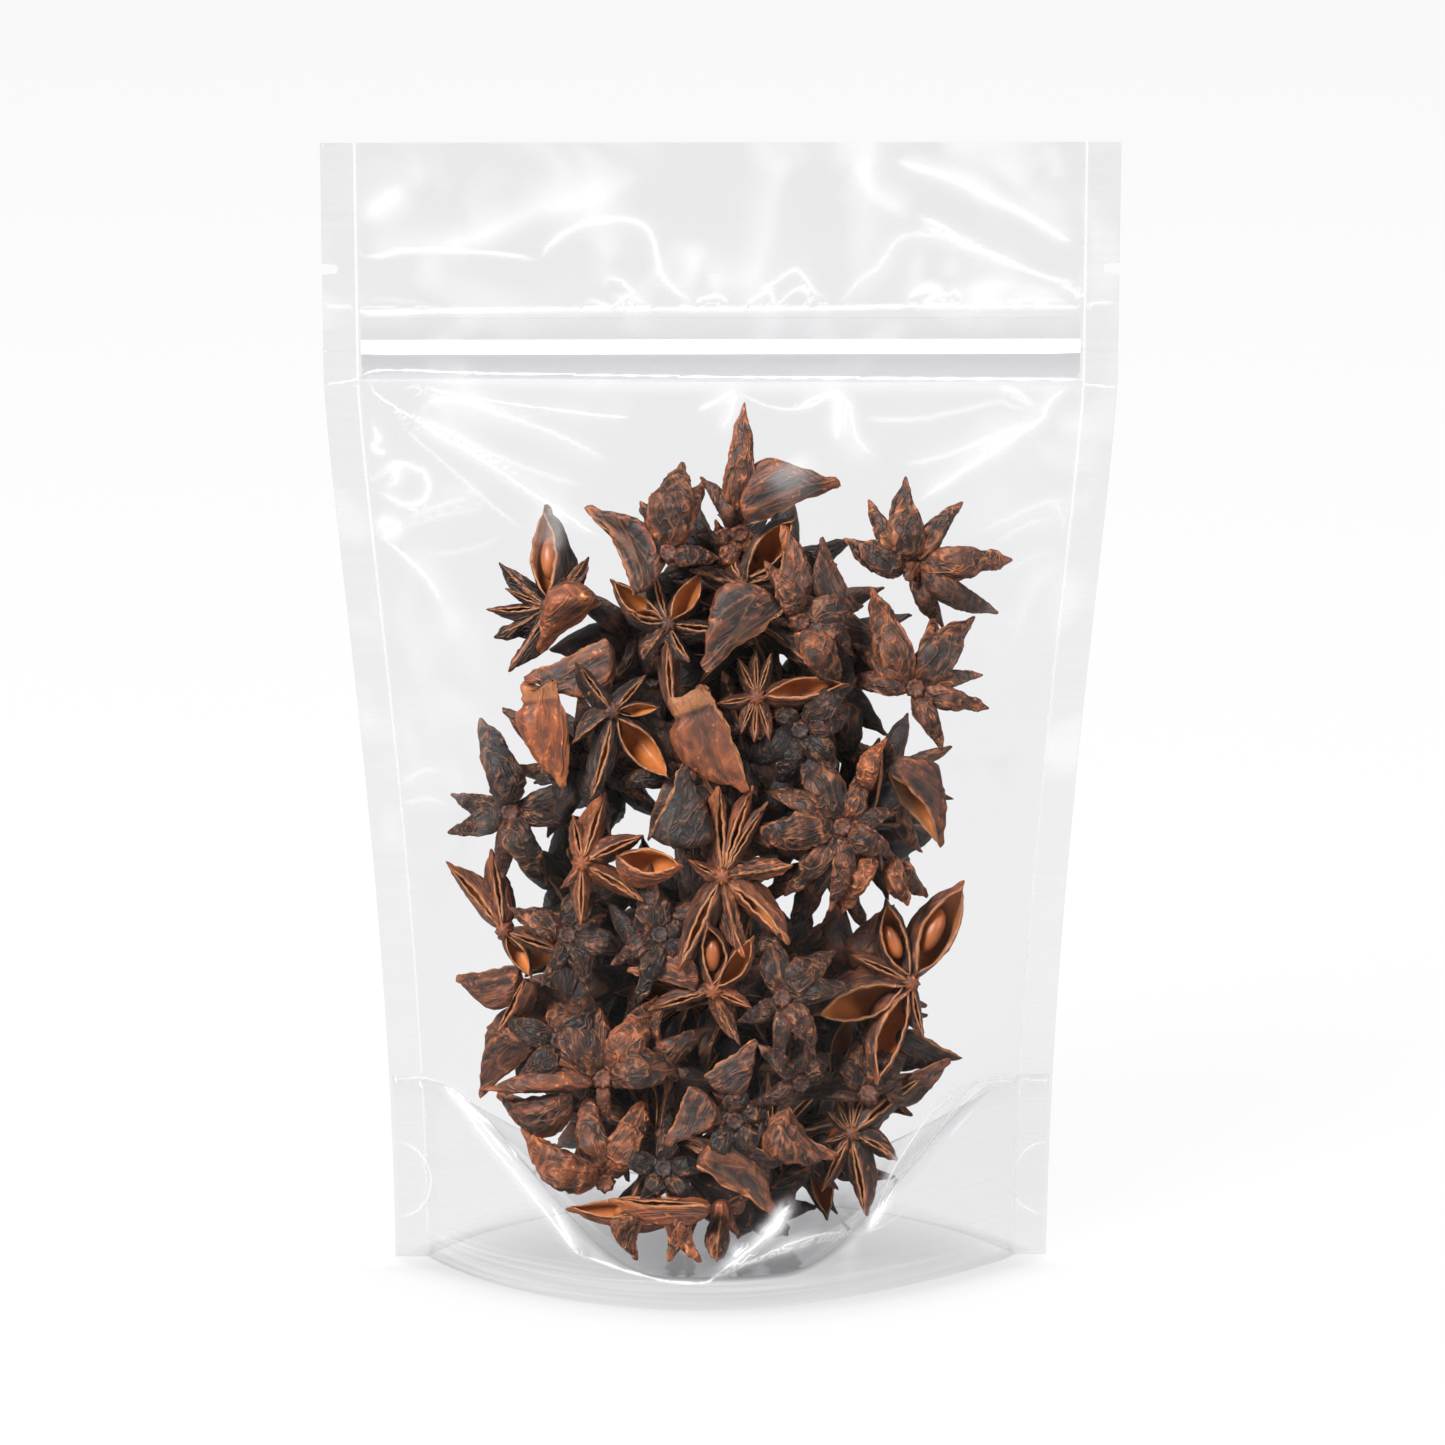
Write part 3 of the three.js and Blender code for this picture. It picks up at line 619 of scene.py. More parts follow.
def husk_material():
    """Dried woody husk: red-brown skin, tan ridges and edges from wear, near-black valleys that are
    painted shade, pale crest lines partly wear and partly painted highlight, smooth orange inner wall.
    """
    material, nodes = new_material("dry_husk")
    place = nodes.place()
    ridge, inner, rim = (nodes.attribute(key) for key in ("ridge", "inner", "rim"))
    tint, folded = nodes.attribute("tint"), nodes.attribute("folded")
    grain = nodes.add("ShaderNodeAttribute", attribute_name="grain").outputs["Vector"]
    grain = nodes.stretched(grain, (0.24, 1.0, 1.0))
    grain = nodes.add("ShaderNodeVectorMath", {0: grain, 1: nodes.times(tint, 90.0)}).outputs[0]
    crest = nodes.math("MAXIMUM", crest_lines(nodes, grain, 0.30, 20.0),
                       nodes.times(crest_lines(nodes, grain, 0.66, 14.0), 0.6))
    crest = nodes.times(crest, nodes.times(nodes.math("POWER", folded, 1.5), 1.6))
    fine = nodes.cloudy(place, 1500.0, 4.0, 0.6, 0.6)
    broad = nodes.cloudy(place, 160.0, 2.0)
    specks = nodes.times(nodes.minus(nodes.cloudy(place, 900.0, 1.0), 0.66), 9.0, clamp=True)
    # level follows ridge: light on edges and crests as wear, dark in the valleys as painted shade
    level = nodes.plus(nodes.times(ridge, 0.50), 0.045)
    level = nodes.plus(level, nodes.times(crest, 0.12))
    level = nodes.plus(level, nodes.times(specks, 0.28))
    level = nodes.minus(level, nodes.times(folded, 0.06))
    level = nodes.plus(level, nodes.times(nodes.minus(fine, 0.5), 0.14))
    level = nodes.plus(level, nodes.times(nodes.minus(broad, 0.5), 0.22))
    level = nodes.plus(level, nodes.times(nodes.minus(tint, 0.5), 0.5), clamp=True)
    skin = nodes.ramp(level, HUSK_SHADES)
    ashen = nodes.times(nodes.minus(nodes.cloudy(place, 90.0, 1.0), 0.46), 4.0, clamp=True)
    skin = nodes.blend(nodes.times(ashen, 0.10), skin, ASHEN)
    # pale tan along the crest lines: partly wear, partly a painted highlight on the wrinkle crests
    paler = nodes.times(nodes.math("POWER", crest, 1.4), nodes.plus(level, 0.15))
    skin = nodes.blend(nodes.times(paler, 0.75, clamp=True), skin, CREST_TAN)
    depth = nodes.plus(nodes.times(broad, 0.8), nodes.times(fine, 0.25))
    colour = nodes.blend(inner, skin, nodes.ramp(depth, INNER_SHADES))
    # pale tan on the split rims of the lips, their own colour
    paler = nodes.times(nodes.math("POWER", rim, 3.0), nodes.plus(fine, 0.1), clamp=True)
    colour = nodes.blend(paler, colour, RIM_TAN)
    rough = nodes.add("ShaderNodeMapRange", {"Value": inner, "To Min": 0.56, "To Max": 0.42}).outputs[0]
    height = nodes.plus(nodes.times(crest, 0.22), nodes.times(fine, 0.07))
    strength = nodes.add("ShaderNodeMapRange", {"Value": inner, "To Min": 1.0, "To Max": 0.15}).outputs[0]
    nodes.show(nodes.shader("BsdfPrincipled", {"Base Color": colour, "Roughness": rough,
                                               "Specular IOR Level": 0.32,
                                               "Normal": nodes.relief(height, strength, 0.0022)}))
    return material


def seed_material():
    """Hard polished seed, amber brown."""
    material, nodes = new_material("polished_seed")
    cloud = nodes.cloudy(nodes.place(), 160.0, 2.0)
    colour = nodes.ramp(cloud, ((0.3, linear(112, 58, 26)), (0.7, linear(166, 92, 42))))
    nodes.show(nodes.shader("BsdfPrincipled", {"Base Color": colour, "Roughness": 0.42,
                                               "Specular IOR Level": 0.4}))
    return material


FLOOR_SHADE = (0.0605, 0.0315)           # half length and half depth of the shade below the pouch
FLOOR_WHITE = 0.93
# Brightness of the floor, by the distance from the middle of the shade as a share of twice its reach.
FLOOR_LEVELS = ((0.0, 0.58), (0.2, 0.63), (0.35, 0.67), (0.48, 0.74), (0.55, 0.85), (0.65, 0.91),
                (0.8, FLOOR_WHITE))


def floor_material():
    """Pale floor, shaded softly where the pouch stands: a lens shape, as its foot has."""
    material, nodes = new_material("pale_floor")
    parts = nodes.add("ShaderNodeSeparateXYZ", {0: nodes.place()}).outputs
    across, along = (nodes.math("ABSOLUTE", nodes.times(part, 1 / half))
                     for part, half in zip(parts, FLOOR_SHADE))
    across = nodes.math("POWER", across, 2.0)
    gap = nodes.times(nodes.plus(across, along), 0.5)
    lit = nodes.ramp(gap, [(share, (grey,) * 3) for share, grey in FLOOR_LEVELS])
    behind = nodes.plus(nodes.times(parts[1], 120.0), 0.8, clamp=True)
    ends = nodes.times(nodes.times(nodes.math("POWER", across, 3.0), 0.25), behind)
    glow = nodes.math("MINIMUM", nodes.plus(lit, ends), FLOOR_WHITE)
    nodes.show(nodes.shader("BsdfPrincipled", {"Base Color": (0.03, 0.03, 0.03, 1), "Roughness": 1.0,
                                               "Specular IOR Level": 0.0,
                                               "Emission Color": glow, "Emission Strength": 1.0}))
    return material


FILM, STRIP, HUSK, SEED = film_material(), zip_material(), husk_material(), seed_material()


# ---------------------------------------------------------------- the pouch
SEAL_CELLS, FREE_CELLS = 10, 160
# Rows of cells up to each height, for the panels below and above the middle of the strip.
BODY_ROWS = ((SKIRT_MIDDLE, 38), (CALM_HEIGHT, 78), (157.0, 108), (161.5, 14), (ZIP_CENTRE, 18))
HEAD_ROWS = ((173.4, 20), (176.0, 5), (NOTCH_HEIGHT - 1.6, 8), (NOTCH_HEIGHT + 1.6, 16), (POUCH_HEIGHT, 36))


def film_places():
    seal = np.linspace(FREE_HALF, FREE_HALF + SEAL_WIDTH, SEAL_CELLS + 1)[1:]
    free = np.linspace(-FREE_HALF + 0.5, FREE_HALF - 0.5, FREE_CELLS + 1)
    edge = FREE_HALF + np.array([-0.2, 0.0, 0.3])
    return np.sort(np.concatenate([-seal, seal, -edge, edge, free]))


def film_levels(start, bands):
    levels = [start]
    for top, rows in bands:
        levels.extend(np.linspace(levels[-1], top, rows + 1)[1:])
    return np.array(levels)


def row_height(level, place, side):
    """The lowest rows follow the weld line of the base and ease back to level."""
    line = skirt_line(place, side)
    low = level / SKIRT_MIDDLE * line
    middle = line + (level - SKIRT_MIDDLE) / (CALM_HEIGHT - SKIRT_MIDDLE) * (CALM_HEIGHT - line)
    return np.where(level <= SKIRT_MIDDLE, low, np.where(level >= CALM_HEIGHT, level, middle))


def notched(place, z):
    """Draws the seal's outer columns in where a tear notch opens its edge."""
    rise = np.abs(z - NOTCH_HEIGHT) / NOTCH_HALF
    cut = np.where(rise < 1, NOTCH_DEPTH - NOTCH_HALF + NOTCH_HALF * np.sqrt(np.clip(1 - rise ** 2, 0, 1)), 0)
    outward = np.clip((np.abs(place) - FREE_HALF) / SEAL_WIDTH, 0, 1)
    return place - np.sign(place) * cut * outward


def waves(place, z, side):
    """Soft folds of slack film, up and down the chamber."""
    slow = 0.5 * np.sin(place / 7.3 + 1.7 * side + 0.9 * np.sin(z / 29)) * np.sin(z / 37 + side)
    return slow + 0.25 * np.sin(place / 3.9 - z / 17 + side)


SEAM_GLINT = 0.14       # how bright the painted highlight line along a side seal's inner edge is


def weld_amount(place, z, side):
    """1 on the base skirt, where the panel is welded to the base film; a little on the side seals."""
    sides = 0.12 * smooth(FREE_HALF - 0.4, FREE_HALF + 0.4, np.abs(place))
    skirt = (1 - smooth(-0.4, 0.4, z - skirt_line(place, side))) * (1 - 0.85 * smooth(4, 10, z))
    skirt = skirt * (1 - 0.8 * smooth(FREE_HALF - 6, FREE_HALF, np.abs(place)))
    return np.maximum(sides, skirt * (1.0 if side < 0 else 0.25))


def make_panel(name, side, start, bands):
    levels, places = np.meshgrid(film_levels(start, bands), film_places(), indexing="ij")
    z = row_height(levels, places, side)
    place = notched(places, z)
    depth = panel_depth(place, z, side)
    slack = (1 - smooth(0.8, 0.99, np.abs(place) / FREE_HALF)) * smooth(20, 50, z) * (1 - smooth(140, 158, z))
    depth = depth + 0.6 * slack * waves(place, z, side)
    painted_sheen, painted_glint = np.zeros(place.shape), np.zeros(place.shape)
    line = np.full(place.shape, 9.0)
    if side < 0:
        lift, painted_sheen, line, painted_glint = crease_relief(place, z)
        depth = depth + lift * (1 - smooth(FREE_HALF - 1.5, FREE_HALF, np.abs(place)))
    seam = np.abs(place) - FREE_HALF
    depth = depth + 0.06 * bump(seam, 0.6)
    # painted highlight line along the inner edge of each side seal
    on_seam = (np.abs(seam) < LINE_REACH) & (painted_glint < SEAM_GLINT)
    line = np.where(on_seam, seam, line)
    seam_glint = SEAM_GLINT * smooth(2, 8, z) * (1 - smooth(0.7, LINE_REACH, np.abs(seam)))
    painted_glint = np.where(on_seam, seam_glint, painted_glint)
    # painted highlight line along the back panel's bottom edge
    if side > 0:
        line, painted_glint = np.where(z < 1, z - 0.3, line), np.where(z < 1, SEAM_GLINT, painted_glint)
    points = np.stack([panel_x(place, z), side * depth, z], -1).reshape(-1, 3)
    faces = grid_faces(*levels.shape, flip=side > 0)
    free = np.maximum(smooth(150, 165, z), smooth(38, 50, np.abs(place)) * smooth(60, 80, z))
    panel = make_object(name, points, faces, {"painted_sheen": painted_sheen, "line": line, "painted_glint": painted_glint,
                                              "weld": weld_amount(place, z, side), "slack": free})
    thicken(panel)
    panel.data.materials.append(FILM)
    return panel


def thicken(piece):
    wall = piece.modifiers.new("wall", "SOLIDIFY")
    wall.thickness = FILM_THICKNESS * MM
    wall.offset = -1.0


def gusset_height(place, share):
    """Height of the base film; share runs from -1 at the front weld to 1 at the back weld."""
    front, back = skirt_line(place, -1), skirt_line(place, 1)
    line = front + (back - front) * (share + 1) / 2
    sag = GUSSET_SAG * smooth(0, 0.35, 1 - np.abs(place) / FREE_HALF)
    return line - sag * (1 - share ** 2)


def make_gusset():
    """The base film: up inside the front skirt, across under the filling, down inside the back skirt."""
    skirt = np.linspace(0, 1, 8)
    span = np.linspace(-1, 1, 41)
    places = np.linspace(-FREE_HALF - 0.9 * SEAL_WIDTH, FREE_HALF + 0.9 * SEAL_WIDTH, 150)
    line, back_line = skirt_line(places, -1), skirt_line(places, 1)
    front = panel_depth(places, line, -1) - GUSSET_GAP
    back = panel_depth(places, back_line, 1) - GUSSET_GAP
    rows = []
    for share in skirt[:-1]:
        z = share * line + 0.1
        inside = np.maximum(panel_depth(places, z, -1) - GUSSET_GAP, 0.04)
        rows.append(np.stack([panel_x(places, z), -inside, z], -1))
    for share in span:
        z = gusset_height(places, share)
        reach = np.maximum(np.where(share < 0, front, back), 0.04)
        rows.append(np.stack([panel_x(places, z), share * reach, z], -1))
    for share in skirt[-2::-1]:
        z = share * back_line + 0.1
        inside = np.maximum(panel_depth(places, z, 1) - GUSSET_GAP, 0.04)
        rows.append(np.stack([panel_x(places, z), inside, z], -1))
    rows = np.array(rows)
    weld = np.zeros(rows.shape[:2])
    weld[:len(skirt) - 1] = 1
    weld[-len(skirt) + 1:] = 1
    faces = grid_faces(rows.shape[0], rows.shape[1], flip=True)
    blank = np.zeros(weld.shape)
    pod_shade = blank.copy()
    # painted shade of the pods above, fading towards the sides and the back weld
    pod_shade[len(skirt) - 1:1 - len(skirt)] = bump(places, POD_SHADE_REACH) * (1 - smooth(0.4, 1.0, span))[:, None]
    gusset = make_object("film_gusset", rows.reshape(-1, 3), faces, {"painted_sheen": blank, "line": blank + 9,
                                                                    "painted_glint": blank, "pod_shade": pod_shade,
                                                                    "faint": np.maximum(weld, 0.6)})
    thicken(gusset)
    gusset.data.materials.append(FILM)
    return gusset


STRIP_BEADS = (-5.55, 1.9)
STRIP_REACH, STRIP_CRIMP = 63.3, 4.0     # half its length, and how much of each end is pressed flat
STRIP_CUTS = 60


def strip_profile():
    """Cross-section of the interlocked strip: half thickness against height, bottom to top."""
    heights = np.linspace(-STRIP_HALF, STRIP_HALF, 93)
    from_rib = (heights - ZIP_RIB_ABOVE) / ZIP_RIB_HALF
    half = 0.14 + 0.9 * np.sqrt(np.clip(1 - from_rib ** 2, 0, 1))
    half = half + sum(0.16 * bump(heights - height, 0.25) for height in STRIP_BEADS)
    return np.concatenate([np.column_stack([half, heights]), np.column_stack([-half, heights])[::-1]])


class ShapeTree(Nodes):
    """A geometry node tree with named inputs, run on a carrier object."""

    def __init__(self, name, sockets):
        super().__init__(bpy.data.node_groups.new(name, "GeometryNodeTree"))
        made = [self.tree.interface.new_socket(label, in_out="INPUT", socket_type="NodeSocket" + kind)
                for label, kind in sockets]
        self.keys = {socket.name: socket.identifier for socket in made}
        self.tree.interface.new_socket("Geometry", in_out="OUTPUT", socket_type="NodeSocketGeometry")
        self.given = self.add("NodeGroupInput").outputs

    def run(self, shape, material, carrier, values, name):
        """Realizes and clads the shape, and returns the tree's result as a plain mesh object."""
        real = self.add("GeometryNodeRealizeInstances", {0: shape})
        clad = self.add("GeometryNodeSetMaterial", {"Geometry": real.outputs[0], "Material": material})
        self.tree.links.new(clad.outputs[0], self.add("NodeGroupOutput").inputs[0])
        modifier = carrier.modifiers.new("shape", "NODES")
        modifier.node_group = self.tree
        for label, value in values.items():
            modifier[self.keys[label]] = value
        return solid_copy(carrier, name)


def make_zip():
    """The press-to-close strip: its profile swept along its length by a node tree."""
    outline = strip_profile()
    curve = bpy.data.curves.new("strip_profile", "CURVE")
    curve.dimensions = "2D"
    spline = curve.splines.new("POLY")
    spline.points.add(len(outline) - 1)
    for point, (thick, height) in zip(spline.points, outline):
        point.co = (thick * MM, height * MM, 0, 1)
    spline.use_cyclic_u = True
    profile = bpy.data.objects.new("strip_profile", curve)
    bpy.context.scene.collection.objects.link(profile)
    nodes = ShapeTree("sweep_strip", (("Half Length", "Float"), ("Height", "Float")))
    reach, rise = nodes.given[0], nodes.given[1]
    left = nodes.add("ShaderNodeCombineXYZ", {0: nodes.times(reach, -1.0), 2: rise}).outputs[0]
    right = nodes.add("ShaderNodeCombineXYZ", {0: reach, 2: rise}).outputs[0]
    line = nodes.add("GeometryNodeCurvePrimitiveLine", {"Start": left, "End": right})
    line = nodes.add("GeometryNodeResampleCurve", {"Curve": line.outputs[0], "Count": STRIP_CUTS})
    section = nodes.add("GeometryNodeObjectInfo", {"Object": profile}).outputs["Geometry"]
    swept = nodes.add("GeometryNodeCurveToMesh", {"Curve": line.outputs[0], "Profile Curve": section,
                                                  "Fill Caps": True})
    carrier = bpy.data.objects.new("zip_film", bpy.data.meshes.new("zip_film"))
    bpy.context.scene.collection.objects.link(carrier)
    made = nodes.run(swept.outputs[0], STRIP, carrier,
                     {"Half Length": STRIP_REACH * MM, "Height": ZIP_CENTRE * MM}, "zip_film_strip")
    bpy.data.objects.remove(profile)
    corners = np.array([v.co for v in made.data.vertices])
    crimp = 1 - 0.75 * smooth(STRIP_REACH - STRIP_CRIMP, STRIP_REACH, np.abs(corners[:, 0]) / MM)
    corners[:, 1] *= crimp
    made.data.vertices.foreach_set("co", corners.astype(np.float32).ravel())
    rise = corners[:, 2] / MM - ZIP_CENTRE
    milk = np.maximum(1 - smooth(1.0, 1.3, np.abs(rise - ZIP_RIB_ABOVE)), 0.12 * bump(rise + 5.4, 0.3))
    # flanges grey, the lower one more, and darker still next to the rib as painted shade, most just under it
    shade = np.where(rise < 0, 0.50 + 0.34 * smooth(-4.8, -1.2, rise), 0.28 - 0.24 * smooth(1.5, 6.0, rise))
    for key, values in (("milk", milk), ("shade", shade)):
        made.data.attributes.new(key, "FLOAT", "POINT").data.foreach_set("value", values.astype(np.float32))
    return made


def solid_copy(carrier, name):
    """The evaluated result of a piece's modifiers as a plain mesh object; the carrier is removed."""
    graph = bpy.context.evaluated_depsgraph_get()
    mesh = bpy.data.meshes.new_from_object(carrier.evaluated_get(graph))
    mesh.name = name
    made = bpy.data.objects.new(name, mesh)
    bpy.context.scene.collection.objects.link(made)
    bpy.data.objects.remove(carrier)
    return made


# ---------------------------------------------------------------- carpels, seeds and hubs
CARPEL_LENGTH = 16.0     # from the middle of a star to the tip of a carpel
CARPEL_ROOT = 0.9
BEAK_START = 0.92        # beyond this share of its length a carpel is only its short beak
WRINKLE_SEED = 3         # fixes the noise that wrinkles the carpels
# Stations along, points up one wall, points down one side of the cavity: fine at the front of the
# heap, plain inside it.
FINE_MESH, PLAIN_MESH = (29, 12, 3), (15, 7, 3)
# Traits of a kind: width of a valve, depth of the keel, how slowly it deepens and how early it tapers,
# rise of the seam, gap between the lips, wall at the lip, how far down the cavity goes, depth of the
# wrinkles, size of the collar left at a broken root, how angular its belly is, number of variants.
TRAITS = ("width", "keel", "rise", "fall", "crown", "gap", "lip", "floor", "wrinkle", "collar", "corner",
          "variants")
KINDS = {kind: dict(zip(TRAITS, values)) for kind, *values in (
    ("closed", 2.6, 5.4, 0.80, 0.90, 0.0, 0.08, 0.30, 0.88, 0.58, 0.0, 0.40, 9),
    ("slit", 2.6, 5.4, 0.80, 0.90, 0.0, 0.62, 0.26, 0.45, 0.32, 0.0, 0.50, 6),
    ("open", 2.5, 6.0, 0.80, 0.90, 0.3, 2.40, 0.28, 0.04, 0.30, 0.0, 0.50, 6),
    ("smooth", 2.6, 6.2, 0.90, 1.25, 0.8, 0.12, 0.28, 0.88, 0.36, 0.0, 0.25, 5),
    ("broken", 3.0, 6.0, 0.55, 0.80, 2.2, 0.12, 0.28, 0.88, 0.26, 0.70, 0.0, 4))}


def cornered(u, peak):
    """Rises straight to 1 at the peak and falls straight to 0, its corner a little rounded."""
    u = np.clip(u, 0, 1)
    return np.minimum(u / peak, (1 - u) / (1 - peak)) ** 0.8


def hump(u, rise, fall):
    """Rises from 0 and falls to 0 over u from 0 to 1, with its top at 1."""
    u = np.clip(u, 0, 1)
    top = rise / (rise + fall)
    return (u ** rise * (1 - u) ** fall) / (top ** rise * (1 - top) ** fall)


def carpel_mesh(kind, seed, mesh_size):
    """A boat-shaped carpel along +X from the middle of the star, its seam towards +Z."""
    traits, rng = KINDS[kind], np.random.default_rng(seed)
    stations, wall_points, cavity_points = mesh_size
    u = np.linspace(0, 1, stations)
    u = u + 0.04 * np.sin(2 * math.pi * u)
    body = u / BEAK_START
    beak = 0.5 * smooth(0.6, 0.92, u) * (1 - 0.5 * smooth(0.97, 1, u))
    width = traits["width"] * rng.uniform(0.85, 1.15) * hump(body, 0.6, rng.uniform(0.7, 0.95))
    cuff = traits["collar"] * (1 - smooth(0.15, 0.20, u))
    groove = 1 - 0.34 * traits["collar"] * bump(u - 0.19, 0.035)
    width = np.maximum(width, cuff * traits["width"]) * groove + 0.7 * (1 - u) ** 3 + beak
    belly = hump(body, traits["rise"], traits["fall"] * rng.uniform(0.85, 1.2))
    belly = belly + traits["corner"] * (cornered(body, rng.uniform(0.38, 0.56)) - belly)
    keel = traits["keel"] * rng.uniform(0.85, 1.15) * belly
    keel = np.maximum(keel, cuff * traits["keel"]) * groove
    keel = keel + 1.9 * (1 - u) ** 2.5 * (1 - traits["collar"]) + beak
    top = 0.35 + beak + rng.uniform(0.1, 0.6) * smooth(0.5, 1, u) - rng.uniform(0, 0.6) * np.sin(math.pi * u)
    crown = np.maximum(np.sin(math.pi * np.clip(body, 0, 1)) ** 0.8, 0.6 * cuff)
    top = top + traits["crown"] * crown * groove
    gap = traits["gap"] * rng.uniform(0.75, 1.1) * np.sin(math.pi * np.clip((u - 0.05) / 0.88, 0, 1)) ** 0.8
    lean = rng.uniform(-0.25, 0.25)
    up = np.append(np.linspace(0, 0.95, wall_points - 1), 1.0)
    down = np.linspace(1, traits["floor"], cavity_points)
    rings, marks = [], []
    for station, share in enumerate(u):
        ring = []
        for side, inside, t in section_points(up, down):
            across = width[station] * math.sin(math.pi * t ** 0.8) ** 0.85 * (1 - 0.15 * t)
            y = across + gap[station] * t ** 1.6 * (1 + side * lean)
            z = -keel[station] + (keel[station] + top[station]) * t ** 1.4
            if inside:
                wall = 0.35 + (traits["lip"] - 0.35) * t ** 6
                y, z = y - min(wall, 0.85 * y + 0.02), z + 0.35 * (1 - t)
            elif t > 0.99:
                y += 0.3 * traits["lip"] * min(1, 4 * share * (1 - share))
            ring.append((CARPEL_ROOT + share * (CARPEL_LENGTH - CARPEL_ROOT), side * max(y, 0.0), z))
            if station == 0:
                marks.append((float(inside and t < 0.995), float(t > 0.99)))
        rings.append(ring)
    points = np.array(rings)
    inner, rim = (np.tile([m[k] for m in marks], (stations, 1)) for k in (0, 1))
    if traits["collar"]:
        rim[u < 0.16] = 0.9
        turns = np.arange(points.shape[1]) / points.shape[1] * 2 * math.pi
        points[0, :, 0] += 0.45 * np.sin(2 * turns + seed) + 0.35 * np.sin(5 * turns + 2 * seed)
    grain = points.copy()
    ridge = wrinkle(points, inner, rim, traits["wrinkle"], rng)
    # edges: paler on edges as wear, darker in the valleys as painted shade
    ridge = 0.35 * ridge + 0.65 * edges(points) * (1 - inner)
    bend(points, rng)
    rows, columns = points.shape[:2]
    faces = grid_faces(rows, columns, wrap=True) + end_faces(rows, columns)
    ridge[-3:] = np.maximum(ridge[-3:], 0.6)
    hollow = [1.6 * traits["collar"], 0, 0]
    flat = np.vstack([points.reshape(-1, 3), points[0].mean(0) + hollow, points[-1].mean(0) + [0.2, 0, 0]])
    attributes = {"inner": np.append(inner.ravel(), [0, 0]), "rim": np.append(rim.ravel(), [0.2, 0.6]),
                  "ridge": np.append(ridge.ravel(), [0.3, 0.7]),
                  "folded": np.full(len(flat), min(1.0, traits["wrinkle"] + 0.05))}
    made = make_object(f"{kind}_{seed}", flat, faces, attributes)
    grain = np.vstack([grain.reshape(-1, 3), grain[0].mean(0), grain[-1].mean(0)]) + 20 * seed
    layer = made.data.attributes.new("grain", "FLOAT_VECTOR", "POINT")
    layer.data.foreach_set("vector", grain.astype(np.float32).ravel())
    return made


def section_points(up, down):
    """Round a section: up outside one valve, down its cavity, up the other's cavity, down outside."""
    ring = [(1, False, t) for t in up] + [(1, True, t) for t in down]
    return ring + [(-1, True, t) for t in down[::-1]] + [(-1, False, t) for t in up[:0:-1]]


def ridged(spot):
    """Noise with sharp crests: 1 on a crest, about 0 between."""
    return max(0.0, 1 - 2.6 * abs(noise.noise(spot)))


def wrinkle(points, inner, rim, depth, rng):
    """Dries the outside into lengthwise ridges and dents; returns how much each point stands out."""
    shift = Vector(rng.uniform(-50, 50, 3))
    ridge = np.zeros(points.shape[:2])
    centre = points.mean(1)
    last = points.shape[0] - 1
    for row in range(points.shape[0]):
        ends = min(1.0, 6 * (1 - row / last) + 0.1) * min(1.0, 0.35 + 4 * row / last)
        for column in range(points.shape[1]):
            x, y, z = points[row, column]
            spot = Vector((x * 0.11, y * 0.5, z * 0.5)) + shift
            warp = noise.noise_vector(spot * 1.4) * 0.45
            coarse = ridged(spot + warp)
            fine = ridged((spot + warp) * 2.1)
            dent = noise.noise(spot * 0.8 + Vector((9, 9, 9)))
            value = 0.65 * coarse + 0.35 * fine
            outside = 1 - inner[row, column]
            ridge[row, column] = value * outside
            away = np.array([0.0, y, z - centre[row, 2]])
            away /= max(np.linalg.norm(away), 0.3)
            calm = outside * (1 - 0.75 * rim[row, column]) * ends
            points[row, column] += away * depth * (1.5 * (value - 0.4) + 0.8 * dent) * calm
            lip = rim[row, column] * noise.noise(Vector((x * 0.55, 3 * np.sign(y), 0)) + shift)
            points[row, column, 2] += 0.5 * lip
            points[row, column, 1] += 0.25 * rim[row, column] * noise.noise(Vector((x * 0.8, 7, y)) + shift)
    return ridge


def edges(points):
    """How much each point of a carpel stands on an edge: 0 in a valley, 1 on a sharp edge."""
    rows = np.vstack([points[:1], points, points[-1:]])
    before, after = rows[:-2], rows[2:]
    left, right = np.roll(points, 1, axis=1), np.roll(points, -1, axis=1)
    normal = np.cross(right - left, after - before)
    normal /= np.maximum(np.linalg.norm(normal, axis=2, keepdims=True), 1e-9)
    centre = points.mean(1, keepdims=True)
    normal *= np.sign(np.sum(normal * (points - centre), axis=2, keepdims=True))
    span = np.linalg.norm(right - left, axis=2)
    bulge = np.sum((points - (left + right + before + after) / 4) * normal, axis=2) / np.maximum(span, 0.3)
    return np.clip(0.24 + 3.8 * bulge, 0, 1) ** 1.2


def bend(points, rng):
    """Curves the carpel sideways, hooks its beak up and twists it a little."""
    share = (points[..., 0] - CARPEL_ROOT) / (CARPEL_LENGTH - CARPEL_ROOT)
    twist = rng.uniform(-0.4, 0.4) * share ** 2
    y, z = points[..., 1].copy(), points[..., 2].copy()
    points[..., 1] = y * np.cos(twist) - z * np.sin(twist) + rng.uniform(-1.2, 1.2) * share ** 2
    points[..., 2] = y * np.sin(twist) + z * np.cos(twist) + rng.uniform(0.2, 1.4) * share ** 4


def seed_mesh(seed):
    """A flattened oval seed, its long axis along X."""
    rng = np.random.default_rng(seed)
    rows, columns = 10, 14
    polar = np.linspace(0.12, math.pi - 0.12, rows)
    turn = np.linspace(0, 2 * math.pi, columns, endpoint=False)
    p, t = np.meshgrid(polar, turn, indexing="ij")
    points = np.stack([3.3 * np.cos(p), 1.55 * np.sin(p) * np.cos(t), 2.3 * np.sin(p) ** 0.9 * np.sin(t)], -1)
    points[..., 2] += 0.25 * np.cos(p) * rng.uniform(-1, 1)
    flat = np.vstack([points.reshape(-1, 3), [[3.36, 0, 0], [-3.36, 0, 0]]])
    return make_object(f"seed_{seed}", flat, grid_faces(rows, columns, wrap=True) + end_faces(rows, columns))


HUB_LOBES = 8


